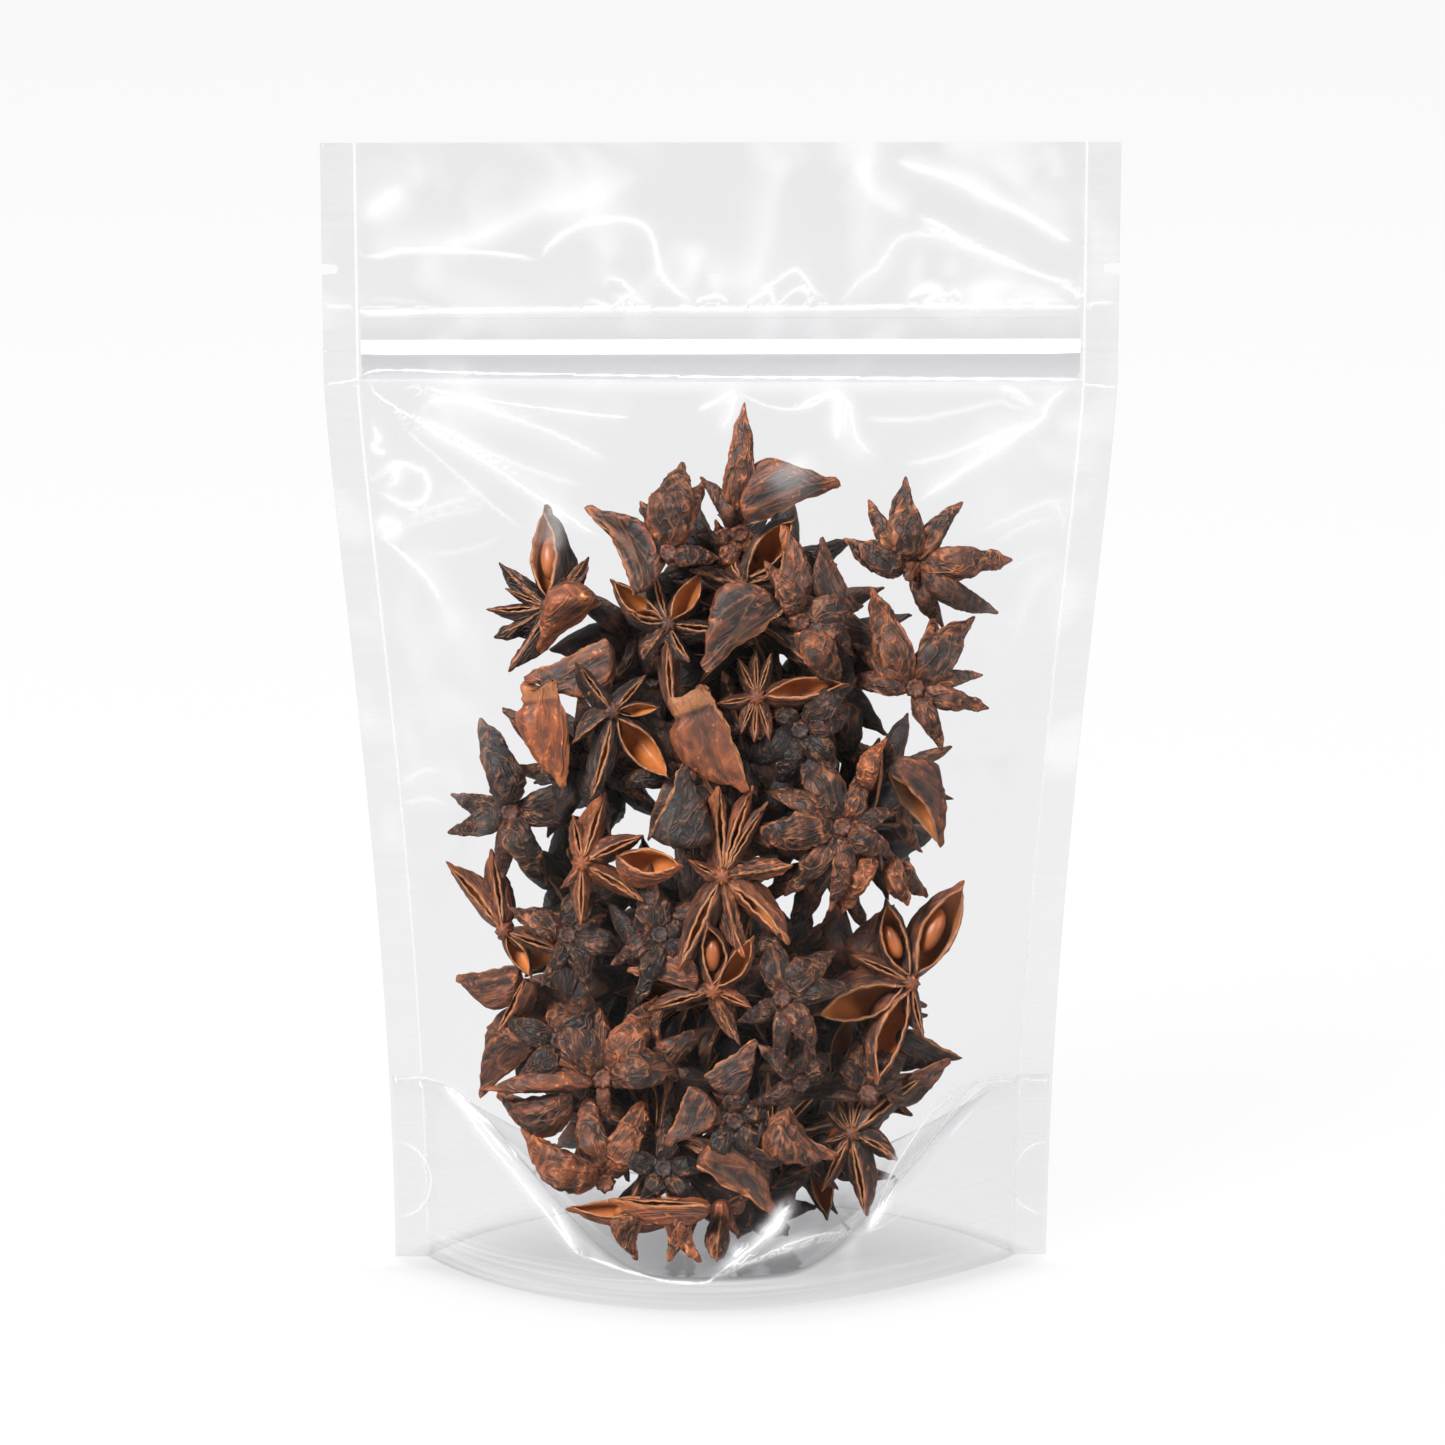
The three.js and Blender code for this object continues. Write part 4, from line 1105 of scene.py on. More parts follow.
def hub_mesh(seed, stalk):
    """The short central column of a star, fluted on top; with a stalk or its scar on the back."""
    rng = np.random.default_rng(seed)
    columns = 24
    turn = np.linspace(0, 2 * math.pi, columns, endpoint=False)
    flute = 1 + 0.16 * np.cos(HUB_LOBES * turn)
    levels = [(0.9, 0.15, 0.4), (0.8, 0.9, 0.9), (0.3, 1.35, 1.0), (-1.2, 1.7, 0.9), (-2.6, 1.9, 0.6),
              (-3.4, 1.5, 0.2)]
    if stalk:
        length = rng.uniform(2.5, 3.5)
        levels += [(-3.9, 1.0, 0.1), (-3.9 - 0.5 * length, 0.75, 0), (-3.9 - length, 0.85, 0.1),
                   (-4.0 - length, 0.5, 0)]
    else:
        levels += [(-3.6, 1.1, 0), (-3.2, 0.9, 0), (-3.3, 0.3, 0)]
    sweep = rng.uniform(-1.5, 1.5, 2)
    points = []
    for z, radius, share in levels:
        lean = max(0.0, -z - 3.4) / 5
        around = radius * (1 + share * (flute - 1)) * (1 + 0.08 * rng.uniform(-1, 1, columns))
        points.append(np.stack([around * np.cos(turn) + sweep[0] * lean ** 2 * 2,
                                around * np.sin(turn) + sweep[1] * lean ** 2 * 2, np.full(columns, z)], -1))
    points = np.array(points)
    rows = len(levels)
    flat = np.vstack([points.reshape(-1, 3), [points[0].mean(0), points[-1].mean(0)]])
    faces = grid_faces(rows, columns, wrap=True, flip=True)
    faces += [face[::-1] for face in end_faces(rows, columns)]
    flutes = 0.45 + 0.22 * np.cos(HUB_LOBES * turn) + rng.uniform(-0.15, 0.15, columns)
    ridge = np.append(np.tile(flutes, rows), [0.3, 0.45])
    zeros = np.zeros(len(flat))
    return make_object(f"hub_{seed}", flat, faces, {"inner": zeros, "rim": zeros + 0.12, "ridge": ridge})


# ---------------------------------------------------------------- where the pods lie
class Heap:
    """Collects what goes where: for each kind, places, turns, scales and tints."""

    def __init__(self):
        self.spots = {}

    def add(self, kind, variant, place, turn, scale, tint):
        self.spots.setdefault(kind, []).append((variant, Vector(place), turn.copy(), Vector(scale), tint))


def basis(along, seam):
    """A turn whose X runs along the carpel and whose Z leans towards the seam."""
    x = Vector(along).normalized()
    z = Vector(seam)
    z = (z - x * z.dot(x)).normalized()
    return Matrix((x, z.cross(x), z)).transposed().to_quaternion()


class Star:
    """A star of carpels round a hub, gathered before it is pushed clear of the film."""

    def __init__(self, hub, rng, group):
        self.hub, self.rng, self.group, self.parts = Vector(hub), rng, group, []

    def carpel(self, tip, seam, kind, tint, girth=1.0):
        along = Vector(tip) - self.hub
        size = along.length / CARPEL_LENGTH
        turn = basis(along, seam)
        seeded = kind == "seeded"
        name = "open" if seeded else kind
        variant = int(self.rng.integers(KINDS[name]["variants"]))
        thick = girth * size ** 0.5
        scale = Vector((size, thick, thick))
        self.parts.append((f"{self.group}_{name}", variant, Vector(), turn, scale, tint))
        if seeded:
            nest = turn @ Vector((0.5 * along.length, 0, -1.9 * thick))
            self.parts.append(("seed", 0, nest, turn, Vector((thick,) * 3), tint))

    def centre(self, axis, tint, stalk):
        turn = Vector((0, 0, 1)).rotation_difference(Vector(axis))
        kind = "hub_stalk" if stalk else "hub"
        self.parts.append((kind, int(self.rng.integers(2)), Vector(), turn, Vector((1, 1, 1)), tint))

    def outline(self, outlines):
        """Sample points of every part, for clearance tests."""
        found = []
        for kind, variant, offset, turn, scale, _ in self.parts:
            shape = outlines[kind][variant % len(outlines[kind])]
            matrix = np.array(turn.to_matrix()) @ np.diag(scale)
            found.append(shape @ matrix.T + np.array(self.hub + offset))
        return np.vstack(found)

    def settle(self, heap):
        for kind, variant, offset, turn, scale, tint in self.parts:
            heap.add(kind, variant, self.hub + offset, turn, scale, tint)


FILM_CLEARANCE = 0.5
UNDER_FILM = 4.0         # how far along the sight line a front pod starts behind the film
SIGHT_LINE = Vector((0, math.cos(CAMERA_RISE), -math.sin(CAMERA_RISE)))


def wall_overlap(points, side):
    """How far the points reach past a panel, at most."""
    depth = depth_at(points[:, 0], np.clip(points[:, 2], 0, POUCH_HEIGHT), side)
    return float(np.max(side * points[:, 1] - depth + FILM_CLEARANCE))


def floor_overlap(points):
    place = place_at(points[:, 0], np.clip(points[:, 2], 0, 60))
    reach = np.maximum(depth_at(points[:, 0], skirt_line(place, -1), -1), 1)
    share = np.clip(points[:, 1] / reach, -1, 1)
    return float(np.max(gusset_height(place, share) + 0.4 - points[:, 2]))


# The stars that show at the front. Each one: its hub in picture points, which face it shows, its
# lean to the right and up in degrees, how far behind the film, its tint (kept low for the stars far
# behind, as painted shade deep in the heap), and its carpels as the tip's picture point, the kind and the
# girth.
STALKED = -2             # the face of a star that shows its back with the stalk still on
FRONT_STARS = (
    ((548, 607), 1, (-15, 10), 3, 0.42, ((545, 506, "seeded", 1.15), (497, 568, "closed", 0.85),
     (487, 612, "slit", 0.8), (496, 638, "closed", 1.1), (514, 674, "smooth", 0.9), (592, 560, "closed", 0.8),
     (505, 590, "slit", 0.7))),
    ((668, 556), -1, (0, 10), 4, 0.52, ((683, 460, "closed", 1.35), (640, 540, "closed", 0.7),
     (719, 556, "closed", 1.1), (700, 476, "smooth", 0.9), (640, 500, "closed", 0.9))),
    ((668, 624), 1, (10, 20), 3, 0.50, ((608, 583, "open", 1.0), (700, 573, "open", 0.9),
     (652, 566, "slit", 0.9), (630, 612, "open", 0.9), (640, 660, "closed", 0.9), (688, 664, "slit", 0.9),
     (722, 632, "slit", 1.0))),
    ((737, 527), -1, (10, -20), 4, 0.62, ((741, 407, "closed", 0.78), (700, 480, "smooth", 0.8),
     (714, 575, "closed", 0.9), (760, 560, "closed", 0.9), (700, 540, "closed", 0.9))),
    ((742, 585), 1, (0, 0), 6, 0.55, ((797, 518, "open", 1.1), (716, 520, "slit", 1.0),
     (800, 570, "closed", 1.0), (690, 570, "closed", 0.9))),
    ((912, 566), -2, (0, -12), 3, 0.58, ((866, 503, "closed", 0.95), (898, 480, "closed", 1.15),
     (959, 500, "closed", 0.95), (1013, 558, "closed", 1.15), (1000, 613, "smooth", 0.9),
     (843, 546, "closed", 1.2), (948, 626, "smooth", 0.8))),
    ((795, 622), -1, (20, 0), 3, 0.55, ((864, 598, "closed", 1.1), (842, 624, "closed", 0.7),
     (836, 692, "closed", 1.1), (770, 560, "closed", 1.0), (858, 650, "closed", 0.9))),
    ((757, 697), 1, (5, 0), 3, 0.70, ((848, 682, "open", 0.85), (715, 704, "slit", 0.7),
     (738, 658, "slit", 0.7), (757, 650, "slit", 0.7), (774, 655, "slit", 0.7), (738, 732, "slit", 0.7),
     (752, 742, "slit", 0.7), (768, 740, "slit", 0.7))),
    ((915, 688), -1, (0, 0), 4, 0.62, ((934, 614, "closed", 0.9), (968, 612, "closed", 1.15),
     (982, 672, "closed", 0.8), (989, 708, "closed", 0.9), (945, 749, "closed", 0.9),
     (846, 683, "closed", 0.9), (867, 590, "closed", 1.0), (856, 640, "smooth", 0.9))),
    ((612, 712), 1, (10, -5), 2, 0.40, ((671, 777, "open", 1.0), (578, 661, "slit", 0.9),
     (648, 678, "slit", 0.9), (660, 706, "open", 0.6), (597, 799, "slit", 0.9), (570, 740, "smooth", 0.8))),
    ((842, 828), -1, (0, 5), 3, 0.60, ((795, 737, "closed", 1.1), (744, 842, "closed", 1.1),
     (896, 851, "closed", 1.1), (786, 896, "closed", 1.0), (836, 911, "closed", 0.8),
     (767, 786, "closed", 0.8), (897, 808, "closed", 0.8), (868, 770, "closed", 0.9))),
    ((912, 983), 1, (12, 0), 2, 0.72, ((959, 880, "seeded", 1.15), (878, 901, "seeded", 1.0),
     (853, 951, "slit", 0.8), (811, 1019, "open", 1.15), (868, 1080, "open", 1.1),
     (919, 1040, "slit", 0.8))),
    ((722, 877), 1, (0, 0), 1, 0.80, ((722, 786, "slit", 1.15), (673, 967, "slit", 1.15),
     (738, 958, "closed", 0.9), (790, 942, "slit", 1.15), (767, 802, "slit", 0.7), (752, 786, "slit", 0.9),
     (688, 862, "slit", 0.8), (793, 868, "closed", 0.9))),
    ((713, 991), 1, (0, -10), 1, 0.80, ((713, 920, "seeded", 1.1), (758, 938, "open", 0.9),
     (648, 1008, "slit", 0.9), (752, 1008, "slit", 0.7), (722, 1018, "slit", 0.7),
     (735, 1045, "closed", 0.9))),
    ((782, 1002), -1, (0, 15), 2, 0.45, ((761, 928, "closed", 0.95), (836, 950, "closed", 1.1),
     (860, 985, "closed", 0.8), (779, 1067, "slit", 0.8), (740, 1025, "closed", 0.9),
     (820, 1050, "closed", 1.0))),
    ((582, 863), 1, (0, 0), 2, 0.86, ((607, 794, "slit", 1.0), (642, 833, "slit", 1.0),
     (643, 901, "slit", 0.95), (580, 925, "slit", 0.7), (563, 890, "closed", 0.6), (574, 815, "slit", 0.8))),
    ((510, 812), -1, (0, 0), 3, 0.45, ((478, 719, "closed", 1.3), (450, 795, "closed", 0.95),
     (446, 830, "closed", 1.05), (602, 779, "closed", 0.8), (590, 821, "closed", 0.7),
     (548, 884, "closed", 1.25), (503, 880, "smooth", 0.9))),
    ((503, 931), 1, (-10, 0), 3, 0.80, ((449, 861, "slit", 0.9), (495, 849, "slit", 0.95),
     (564, 954, "slit", 0.9), (530, 978, "open", 0.8))),
    ((565, 940), -1, (10, 20), 5, 0.40, ((508, 911, "closed", 1.0), (590, 880, "closed", 1.0),
     (632, 958, "closed", 1.1), (610, 900, "closed", 1.0), (590, 990, "closed", 1.0),
     (545, 985, "closed", 0.9))),
    ((603, 1083), -1, (0, 10), 2, 0.66, ((541, 1006, "closed", 1.1), (580, 988, "closed", 1.05),
     (663, 1002, "closed", 1.05), (694, 1066, "closed", 1.2), (611, 1123, "smooth", 0.7),
     (484, 1096, "slit", 0.7), (527, 1043, "closed", 0.8))),
    ((605, 1183), -1, (0, -5), 2, 0.70, ((581, 1090, "closed", 1.0), (653, 1099, "closed", 1.05),
     (516, 1141, "closed", 1.25))),
    ((852, 1148), 1, (0, 0), 3, 0.62, ((926, 1087, "slit", 1.1), (901, 1170, "slit", 0.9),
     (864, 1230, "slit", 1.0), (818, 1203, "slit", 0.9), (822, 1157, "slit", 0.7),
     (826, 1127, "slit", 0.7), (836, 1112, "slit", 0.7), (853, 1106, "slit", 0.8), (866, 1103, "slit", 0.7))),
    ((868, 1098), -1, (0, 20), 5, 0.50, ((830, 1050, "closed", 1.0), (902, 1042, "closed", 1.2),
     (790, 1098, "slit", 0.6), (860, 1030, "closed", 0.9))),
    ((795, 1080), -1, (20, -10), 5, 0.35, ((832, 1074, "slit", 0.6), (760, 1045, "closed", 1.0),
     (830, 1050, "closed", 1.0), (752, 1105, "closed", 1.0), (795, 1020, "closed", 0.9))),
    ((735, 1120), -1, (0, 0), 6, 0.28, ((690, 1110, "closed", 1.0), (775, 1100, "closed", 1.0),
     (700, 1165, "closed", 1.0), (770, 1160, "closed", 1.0), (735, 1060, "closed", 1.0))),
    ((560, 1040), -1, (0, 0), 7, 0.30, ((500, 1020, "closed", 1.0), (520, 1090, "closed", 1.0),
     (600, 1000, "closed", 1.0), (610, 1070, "closed", 1.0))),
    ((660, 940), -1, (0, 20), 6, 0.25, ((650, 880, "closed", 1.1), (610, 960, "closed", 1.0),
     (700, 930, "closed", 1.0), (640, 1000, "closed", 1.0), (690, 980, "closed", 1.0))),
    ((800, 730), -1, (0, 0), 7, 0.28, ((850, 720, "closed", 1.0), (780, 790, "closed", 1.0),
     (770, 700, "closed", 1.0), (840, 780, "closed", 1.0), (860, 680, "closed", 1.0),
     (745, 760, "open", 0.9))),
    ((664, 1170), -1, (0, 10), 8, 0.26, ((612, 1150, "closed", 1.0), (640, 1212, "closed", 1.0),
     (700, 1214, "closed", 1.0), (722, 1160, "closed", 1.0), (668, 1112, "closed", 0.9))),
    ((722, 1208), 1, (0, 70), 3, 0.75, ((714, 1263, "closed", 0.8), (752, 1196, "closed", 0.7))),
)
# Single carpels, each from its root to its tip in picture points, with its kind, how far behind the
# film, tint, girth, and where its seam points: right, up and towards the viewer.
FRONT_CARPELS = (
    ((603, 598), (533, 641), "smooth", 0, 0.92, 1.2, (0.5, -0.7, -0.5)),
    ((638, 600), (600, 501), "closed", 1, 0.55, 1.15, (-1.0, -0.3, 0.3)),
    ((612, 638), (530, 684), "smooth", 3, 0.70, 1.15, (0.0, 0.9, 0.4)),
    ((549, 677), (560, 786), "broken", 1, 1.08, 1.0, (1.0, 0.1, 0.2)),
    ((742, 526), (833, 473), "smooth", 1, 0.70, 1.1, (0.4, -0.9, 0.2)),
    ((775, 606), (792, 528), "closed", 2, 0.75, 1.1, (-1.0, 0.2, 0.3)),
    ((786, 604), (699, 662), "smooth", 0, 0.58, 1.35, (0.5, -0.8, 0.3)),
    ((852, 602), (816, 541), "smooth", 2, 0.50, 0.85, (0.9, 0.5, 0.2)),
    ((698, 684), (738, 794), "broken", 0, 0.90, 1.12, (1.0, 0.3, 0.3)),
    ((668, 640), (668, 715), "slit", 2, 0.66, 0.85, (0.0, 0.0, 1.0)),
    ((650, 842), (694, 770), "smooth", 0, 0.34, 1.35, (-0.85, 0.5, 0.3)),
    ((612, 856), (682, 872), "open", 0, 1.0, 1.15, (0.1, 0.4, 1.0)),
    ((868, 792), (880, 737), "closed", 2, 1.0, 0.9, (0.3, 0.0, -1.0)),
    ((884, 764), (943, 838), "open", 2, 0.66, 1.15, (-0.7, -0.2, 0.7)),
    ((876, 854), (842, 912), "closed", 2, 0.92, 1.1, (0.4, 0.3, -0.9)),
    ((893, 852), (910, 906), "closed", 3, 0.85, 1.0, (0.4, 0.0, -0.9)),
    ((906, 856), (927, 899), "closed", 4, 0.70, 0.9, (0.6, 0.0, -0.9)),
    ((700, 990), (630, 964), "smooth", 1, 0.80, 0.9, (0.2, -1.0, 0.3)),
    ((522, 966), (459, 986), "smooth", 3, 0.70, 0.9, (0.3, 0.9, 0.3)),
    ((526, 978), (496, 1032), "slit", 2, 0.80, 0.9, (-0.4, 0.2, 0.9)),
    ((536, 1046), (476, 1088), "smooth", 3, 0.66, 1.05, (0.5, -0.8, 0.3)),
    ((574, 1090), (501, 1111), "closed", 2, 0.62, 1.4, (0.3, 0.9, -0.5)),
    ((692, 1083), (672, 1145), "smooth", 2, 0.66, 1.1, (-0.9, 0.1, 0.3)),
    ((702, 1080), (759, 1044), "smooth", 2, 0.60, 1.1, (0.4, 0.9, 0.3)),
    ((905, 1028), (952, 1064), "smooth", 3, 0.40, 1.2, (0.5, 0.6, 0.6)),
    ((878, 1088), (947, 1063), "smooth", 3, 0.66, 0.9, (0.3, 0.9, 0.4)),
    ((784, 1104), (824, 1162), "closed", 2, 0.70, 1.35, (0.9, 0.3, -0.3)),
    ((796, 1152), (733, 1136), "open", 3, 0.45, 0.9, (0.0, 0.8, 0.7)),
    ((688, 1206), (568, 1222), "seeded", 2, 0.90, 0.85, (0.1, 0.75, 0.75)),
    ((716, 1206), (610, 1199), "slit", 0, 0.98, 0.85, (0.0, 0.45, 0.9)),
    ((692, 1162), (780, 1200), "smooth", 1, 0.70, 1.35, (0.5, -0.9, 0.3)),
    ((646, 1212), (628, 1259), "closed", 2, 0.80, 1.0, (1.0, 0.2, 0.3)),
    ((662, 1214), (673, 1259), "closed", 2, 0.75, 1.0, (-1.0, 0.2, 0.3)),
    ((690, 1214), (695, 1263), "closed", 2, 0.85, 0.9, (1.0, 0.1, 0.4)),
)


def seen_vector(right, up, towards):
    """A direction given as the camera sees it."""
    return Vector(EYE_AXES[:, 0]) * right + Vector(EYE_AXES[:, 1]) * up + Vector(EYE_AXES[:, 2]) * towards


def front_star(entry, rng):
    hub_point, face, (right, up), behind, tint, carpels = entry
    ray = Vector(sight(hub_point))
    hub = Vector(on_front(hub_point)) + ray * (behind + UNDER_FILM)
    lean = (math.tan(math.radians(right)), math.tan(math.radians(up)), 1.0)
    axis = seen_vector(*lean).normalized()
    star = Star(hub, rng, "front")
    distance = (hub - Vector(EYE)).dot(-Vector(EYE_AXES[:, 2]))
    towards = seen_vector(0, 0, 1)
    side = math.copysign(1.0, face)
    for x, y, kind, girth in carpels:
        flat = seen_vector(x - hub_point[0], hub_point[1] - y, 0) * (distance / FOCAL_POINTS)
        rise = -flat.dot(axis) / max(axis.dot(towards), 0.35)
        limit = 0.9 * flat.length
        offset = flat + towards * max(-limit, min(limit, rise))
        seam = axis * side + seen_vector(rng.uniform(-0.2, 0.2), rng.uniform(-0.2, 0.2), 0)
        star.carpel(hub + offset, seam, kind, float(np.clip(tint + rng.uniform(-0.14, 0.14), 0, 1)), girth)
    star.centre(axis * side, tint + 0.1, stalk=face == STALKED)
    return star


def front_carpel(entry, rng):
    root_point, tip_point, kind, behind, tint, girth, seam = entry
    root, tip = (Vector(on_front(point)) + Vector(sight(point)) * (behind + UNDER_FILM)
                 for point in (root_point, tip_point))
    star = Star(root, rng, "front")
    star.carpel(tip, seen_vector(*seam), kind, tint, girth)
    return star


def loose_star(hub, axis, rng, kinds):
    """A whole star for the inside of the heap."""
    axis = Vector(axis).normalized()
    star = Star(hub, rng, "inside")
    start = axis.orthogonal().normalized()
    count = int(rng.integers(7, 9))
    # inside stars are darker than the front ones: painted shade deep in the heap, with random tone per star
    tint = float(np.clip(rng.normal(0.30, 0.12), 0.05, 0.9))
    turn = rng.uniform(0, 2 * math.pi)
    for index in range(count):
        angle = turn + 2 * math.pi * index / count + rng.uniform(-0.12, 0.12)
        spoke = Quaternion(axis, angle) @ start
        tip = Vector(hub) + (spoke + axis * rng.uniform(-0.22, 0.22)) * rng.uniform(11.5, 16.5)
        star.carpel(tip, axis, str(rng.choice(kinds)), float(np.clip(tint + rng.uniform(-0.12, 0.12), 0, 1)),
                    rng.uniform(0.85, 1.1))
    star.centre(axis, tint + 0.1, stalk=rng.uniform() < 0.4)
    return star


# The inside of the heap: half its width to the left and to the right at rising heights.
HEAP_HEIGHTS = (8, 22, 45, 75, 100, 118, 130)
HEAP_LEFT = (14, 22, 30, 32, 30, 20, 6)
HEAP_RIGHT = (14, 20, 27, 31, 33, 22, 8)
INSIDE_KINDS = ("closed", "closed", "closed", "slit", "open", "smooth")
INSIDE_STARS, INSIDE_TRIES = 60, 9000
FRONT_SEED, INSIDE_SEED = 11, 5
STAR_SPACING = Vector((13.0, 9.0, 11.5))
FRONT_LAYER = 13.0       # the inside of the heap starts this far behind the front panel


def fill_inside(heap, outlines, rng):
    taken = []
    for _ in range(INSIDE_TRIES):
        if len(taken) >= INSIDE_STARS:
            break
        z = rng.uniform(HEAP_HEIGHTS[0], HEAP_HEIGHTS[-1])
        x = rng.uniform(-np.interp(z, HEAP_HEIGHTS, HEAP_LEFT), np.interp(z, HEAP_HEIGHTS, HEAP_RIGHT))
        front = FRONT_LAYER - float(depth_at(x, z, -1))
        back = float(depth_at(x, z, 1)) - 4.0
        if front > back:
            continue
        y = rng.uniform(front, back)
        spot = Vector((x, y, z))
        if any(sum(((spot - t)[i] / STAR_SPACING[i]) ** 2 for i in range(3)) < 1 for t in taken):
            continue
        outward = 1.0 if y > 0.35 * back else rng.choice([-1.0, 1.0])
        axis = (rng.uniform(-0.7, 0.7), outward, rng.uniform(-0.7, 0.7))
        star = loose_star(spot, axis, rng, INSIDE_KINDS)
        push = wall_overlap(star.outline(outlines), 1)
        if push > 0:
            star.hub.y -= push
        if push > 9 or wall_overlap(star.outline(outlines), -1) > -6:
            continue
        lift = floor_overlap(star.outline(outlines))
        if lift > 0:
            star.hub.z += lift
        star.hub.y -= max(0.0, wall_overlap(star.outline(outlines), 1))
        taken.append(spot)
        star.settle(heap)


def place_pods(outlines):
    heap, rng = Heap(), np.random.default_rng(FRONT_SEED)
    stars = [front_star(entry, rng) for entry in FRONT_STARS]
    for star in stars + [front_carpel(entry, rng) for entry in FRONT_CARPELS]:
        for _ in range(3):
            push = wall_overlap(star.outline(outlines), -1)
            if push > 0:
                star.hub += SIGHT_LINE * (push / SIGHT_LINE.y)
        lift = floor_overlap(star.outline(outlines))
        if lift > 0:
            star.hub.z += lift
        star.settle(heap)
    fill_inside(heap, outlines, np.random.default_rng(INSIDE_SEED))
    return heap


def scatter(name, variants, spots, material):
    """Puts the variants at their spots by a node tree and returns one plain mesh object."""
    mesh = bpy.data.meshes.new(name)
    mesh.from_pydata([tuple(place * MM) for _, place, _, _, _ in spots], [], [])
    for key, kind, field, values in (
            ("variant", "INT", "value", [v for v, *_ in spots]),
            ("turn", "QUATERNION", "value", [c for _, _, turn, _, _ in spots for c in turn]),
            ("size", "FLOAT_VECTOR", "vector", [c for _, _, _, scale, _ in spots for c in scale]),
            ("tint", "FLOAT", "value", [tint for *_, tint in spots])):
        mesh.attributes.new(key, kind, "POINT").data.foreach_set(field, values)
    carrier = bpy.data.objects.new(name + "_spots", mesh)
    bpy.context.scene.collection.objects.link(carrier)
    shelf = bpy.data.collections.new(name + "_variants")
    for number, variant in enumerate(variants):
        variant.name = f"{name}_{number:02d}"
        shelf.objects.link(variant)
    nodes = ShapeTree("lay_" + name, (("Points", "Geometry"), ("Shapes", "Collection"), ("Size", "Float")))
    shown = nodes.add("GeometryNodeCollectionInfo", {"Collection": nodes.given[1], "Separate Children": True,
                                                     "Reset Children": True})
    pick, turn, size = (
        nodes.add("GeometryNodeInputNamedAttribute", {"Name": key}, data_type=kind).outputs[0]
        for key, kind in (("variant", "INT"), ("turn", "QUATERNION"), ("size", "FLOAT_VECTOR")))
    scaled = nodes.add("ShaderNodeVectorMath", {0: size, "Scale": nodes.given[2]}, operation="SCALE")
    laid = nodes.add("GeometryNodeInstanceOnPoints", {
        "Points": nodes.given[0], "Instance": shown.outputs[0], "Pick Instance": True,
        "Instance Index": pick, "Rotation": turn, "Scale": scaled.outputs[0]})
    made = nodes.run(laid.outputs[0], material, carrier, {"Shapes": shelf, "Size": 1.0}, name)
    for variant in variants:
        bpy.data.objects.remove(variant)
    bpy.data.collections.remove(shelf)
    made.data.polygons.foreach_set("use_smooth", np.ones(len(made.data.polygons), bool))
    return made


def make_pods():
    noise.seed_set(WRINKLE_SEED)
    shelves = {f"{group}_{kind}": [carpel_mesh(kind, 100 * row + number, size)
                                   for number in range(traits["variants"])]
               for group, size in (("front", FINE_MESH), ("inside", PLAIN_MESH))
               for row, (kind, traits) in enumerate(KINDS.items())
               if group == "front" or kind in INSIDE_KINDS}
    shelves["seed"] = [seed_mesh(1)]
    shelves["hub"] = [hub_mesh(1, False), hub_mesh(2, False)]
    shelves["hub_stalk"] = [hub_mesh(3, True), hub_mesh(4, True)]
    outlines = {kind: [np.array([v.co for v in shape.data.vertices])[::3] / MM for shape in shapes]
                for kind, shapes in shelves.items()}
    heap = place_pods(outlines)
    made = []
    for kind, shapes in shelves.items():
        spots = heap.spots.get(kind)
        if spots:
            made.append(scatter(f"pods_{kind}", shapes, spots, SEED if kind == "seed" else HUSK))
    return made


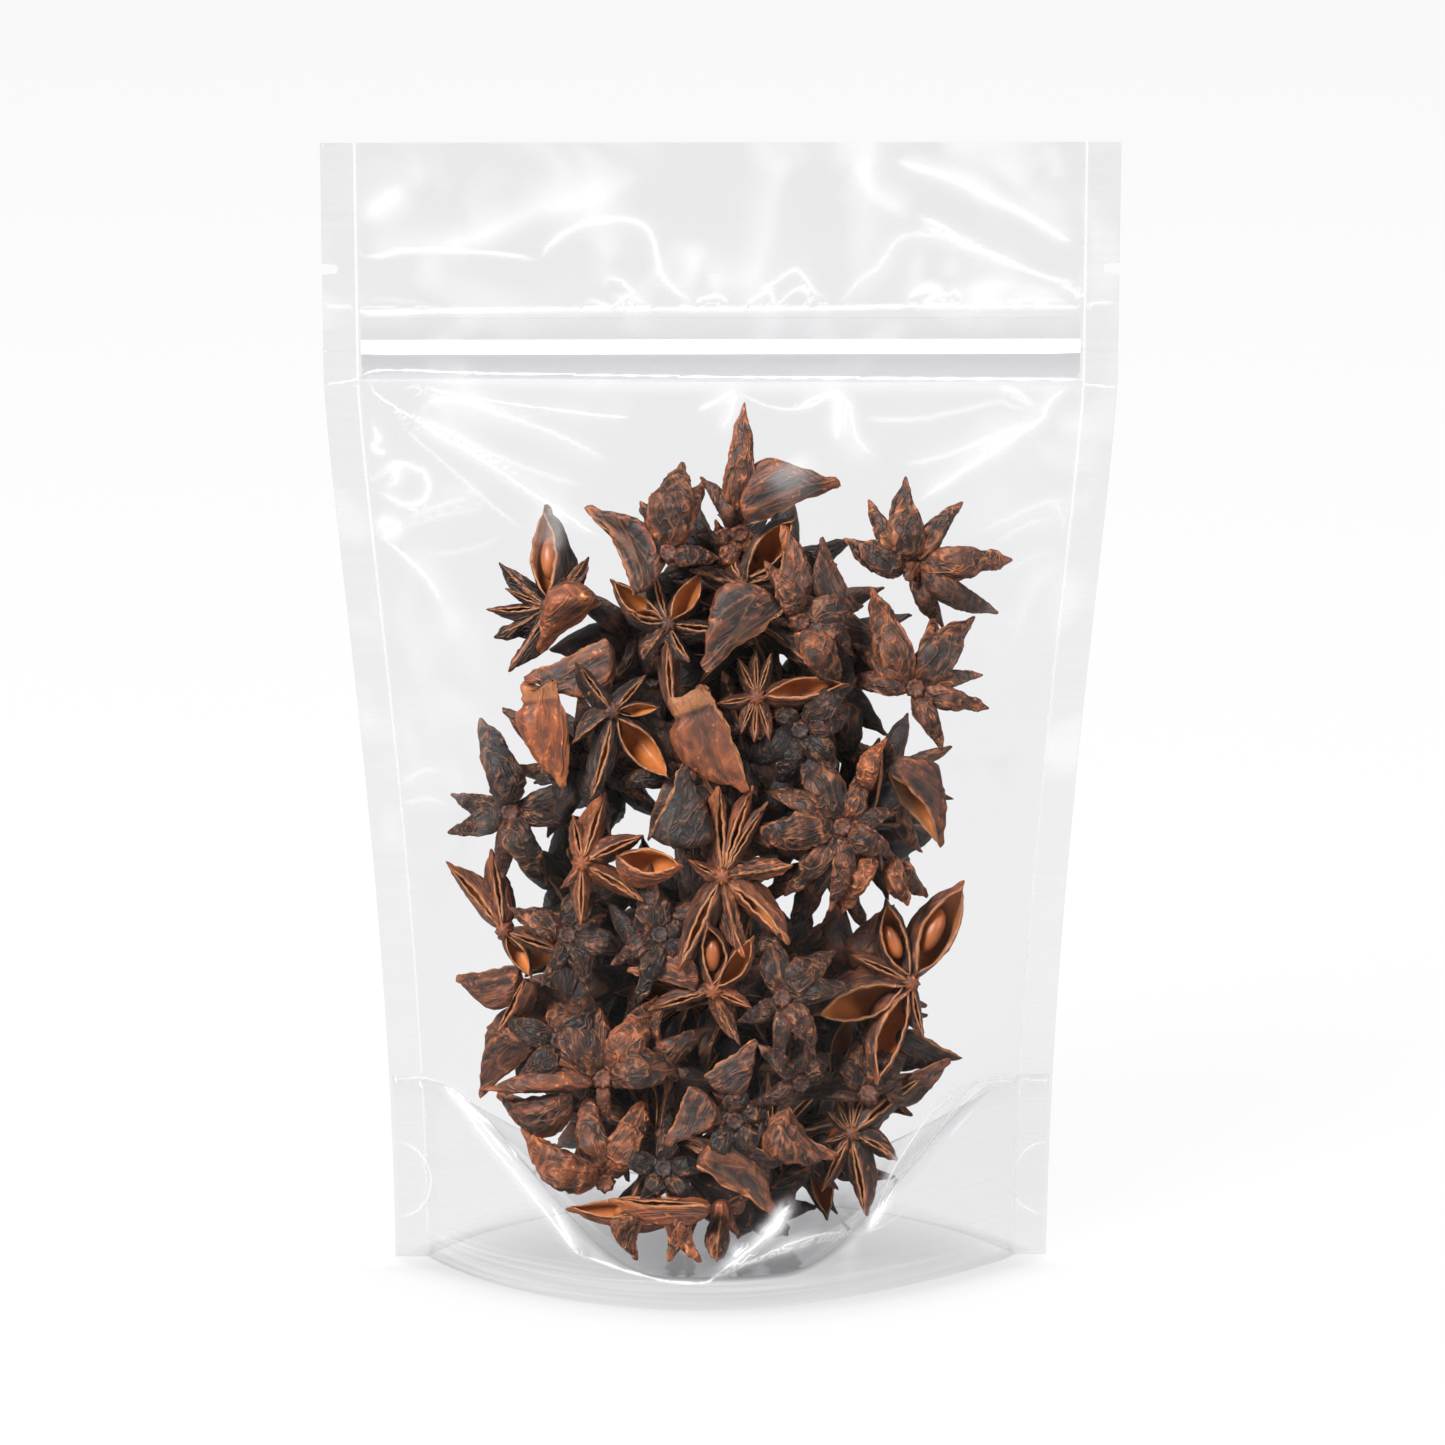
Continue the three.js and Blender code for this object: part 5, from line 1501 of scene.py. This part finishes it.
# ---------------------------------------------------------------- pieces
for film in (make_panel("film_front", -1, 0.0, BODY_ROWS),
             make_panel("film_front_head", -1, ZIP_CENTRE, HEAD_ROWS),
             make_panel("film_back", 1, 0.0, BODY_ROWS),
             make_panel("film_back_head", 1, ZIP_CENTRE, HEAD_ROWS),
             make_gusset()):
    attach(film, "root")
    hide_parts("pouch")
zip_film = make_zip()
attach(zip_film, "root")
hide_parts("zip_strip")
for pods in make_pods():
    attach(pods, "root")
    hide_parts("pouch")


# ---------------------------------------------------------------- floor, light and surroundings
# Strength of the white surroundings: as seen, as light, and in reflections.
SEEN_WORLD, LIGHT_WORLD, MIRROR_WORLD = 0.975, 0.10, 0.5
FLOOR_HALF = 4000.0


def make_floor():
    corners = [(x * FLOOR_HALF, y * FLOOR_HALF, 0) for x, y in ((-1, -1), (1, -1), (1, 1), (-1, 1))]
    floor = make_object("floor", corners, [(0, 1, 2, 3)], shade_smooth=False)
    floor.data.materials.append(floor_material())


def make_light(name, place, aim, width, height, power):
    data = bpy.data.lights.new(name, "AREA")
    data.shape, data.size, data.size_y = "RECTANGLE", width * MM, height * MM
    data.energy = power
    light = bpy.data.objects.new(name, data)
    light.location = Vector(place) * MM
    light.rotation_mode = "QUATERNION"
    light.rotation_quaternion = (Vector(aim) - Vector(place)).to_track_quat("-Z", "Y")
    bpy.context.scene.collection.objects.link(light)


def make_world():
    world = bpy.data.worlds.new("studio")
    world.use_nodes = True
    world.node_tree.nodes.clear()
    nodes = Nodes(world.node_tree)
    ray = nodes.add("ShaderNodeLightPath").outputs
    seen, soft, dim = (nodes.shader("Background", {"Color": WHITE, "Strength": power})
                       for power in (SEEN_WORLD, LIGHT_WORLD, MIRROR_WORLD))
    shown = nodes.mixed(ray["Is Camera Ray"], soft, seen)
    nodes.show(nodes.mixed(ray["Is Glossy Ray"], shown, dim), "ShaderNodeOutputWorld")
    bpy.context.scene.world = world


make_floor()
make_world()
make_light("key", (-1100, -1300, 1500), (0, 0, 90), 700, 700, 125)
make_light("fill", (1500, -1100, 900), (0, 0, 90), 500, 900, 26)
make_light("top", (200, 300, 1800), (0, 0, 60), 800, 500, 30)
scene = bpy.context.scene
scene.view_settings.view_transform = "Standard"
scene.cycles.transparent_max_bounces = 24
scene.cycles.max_bounces = 6
scene.cycles.diffuse_bounces = 1
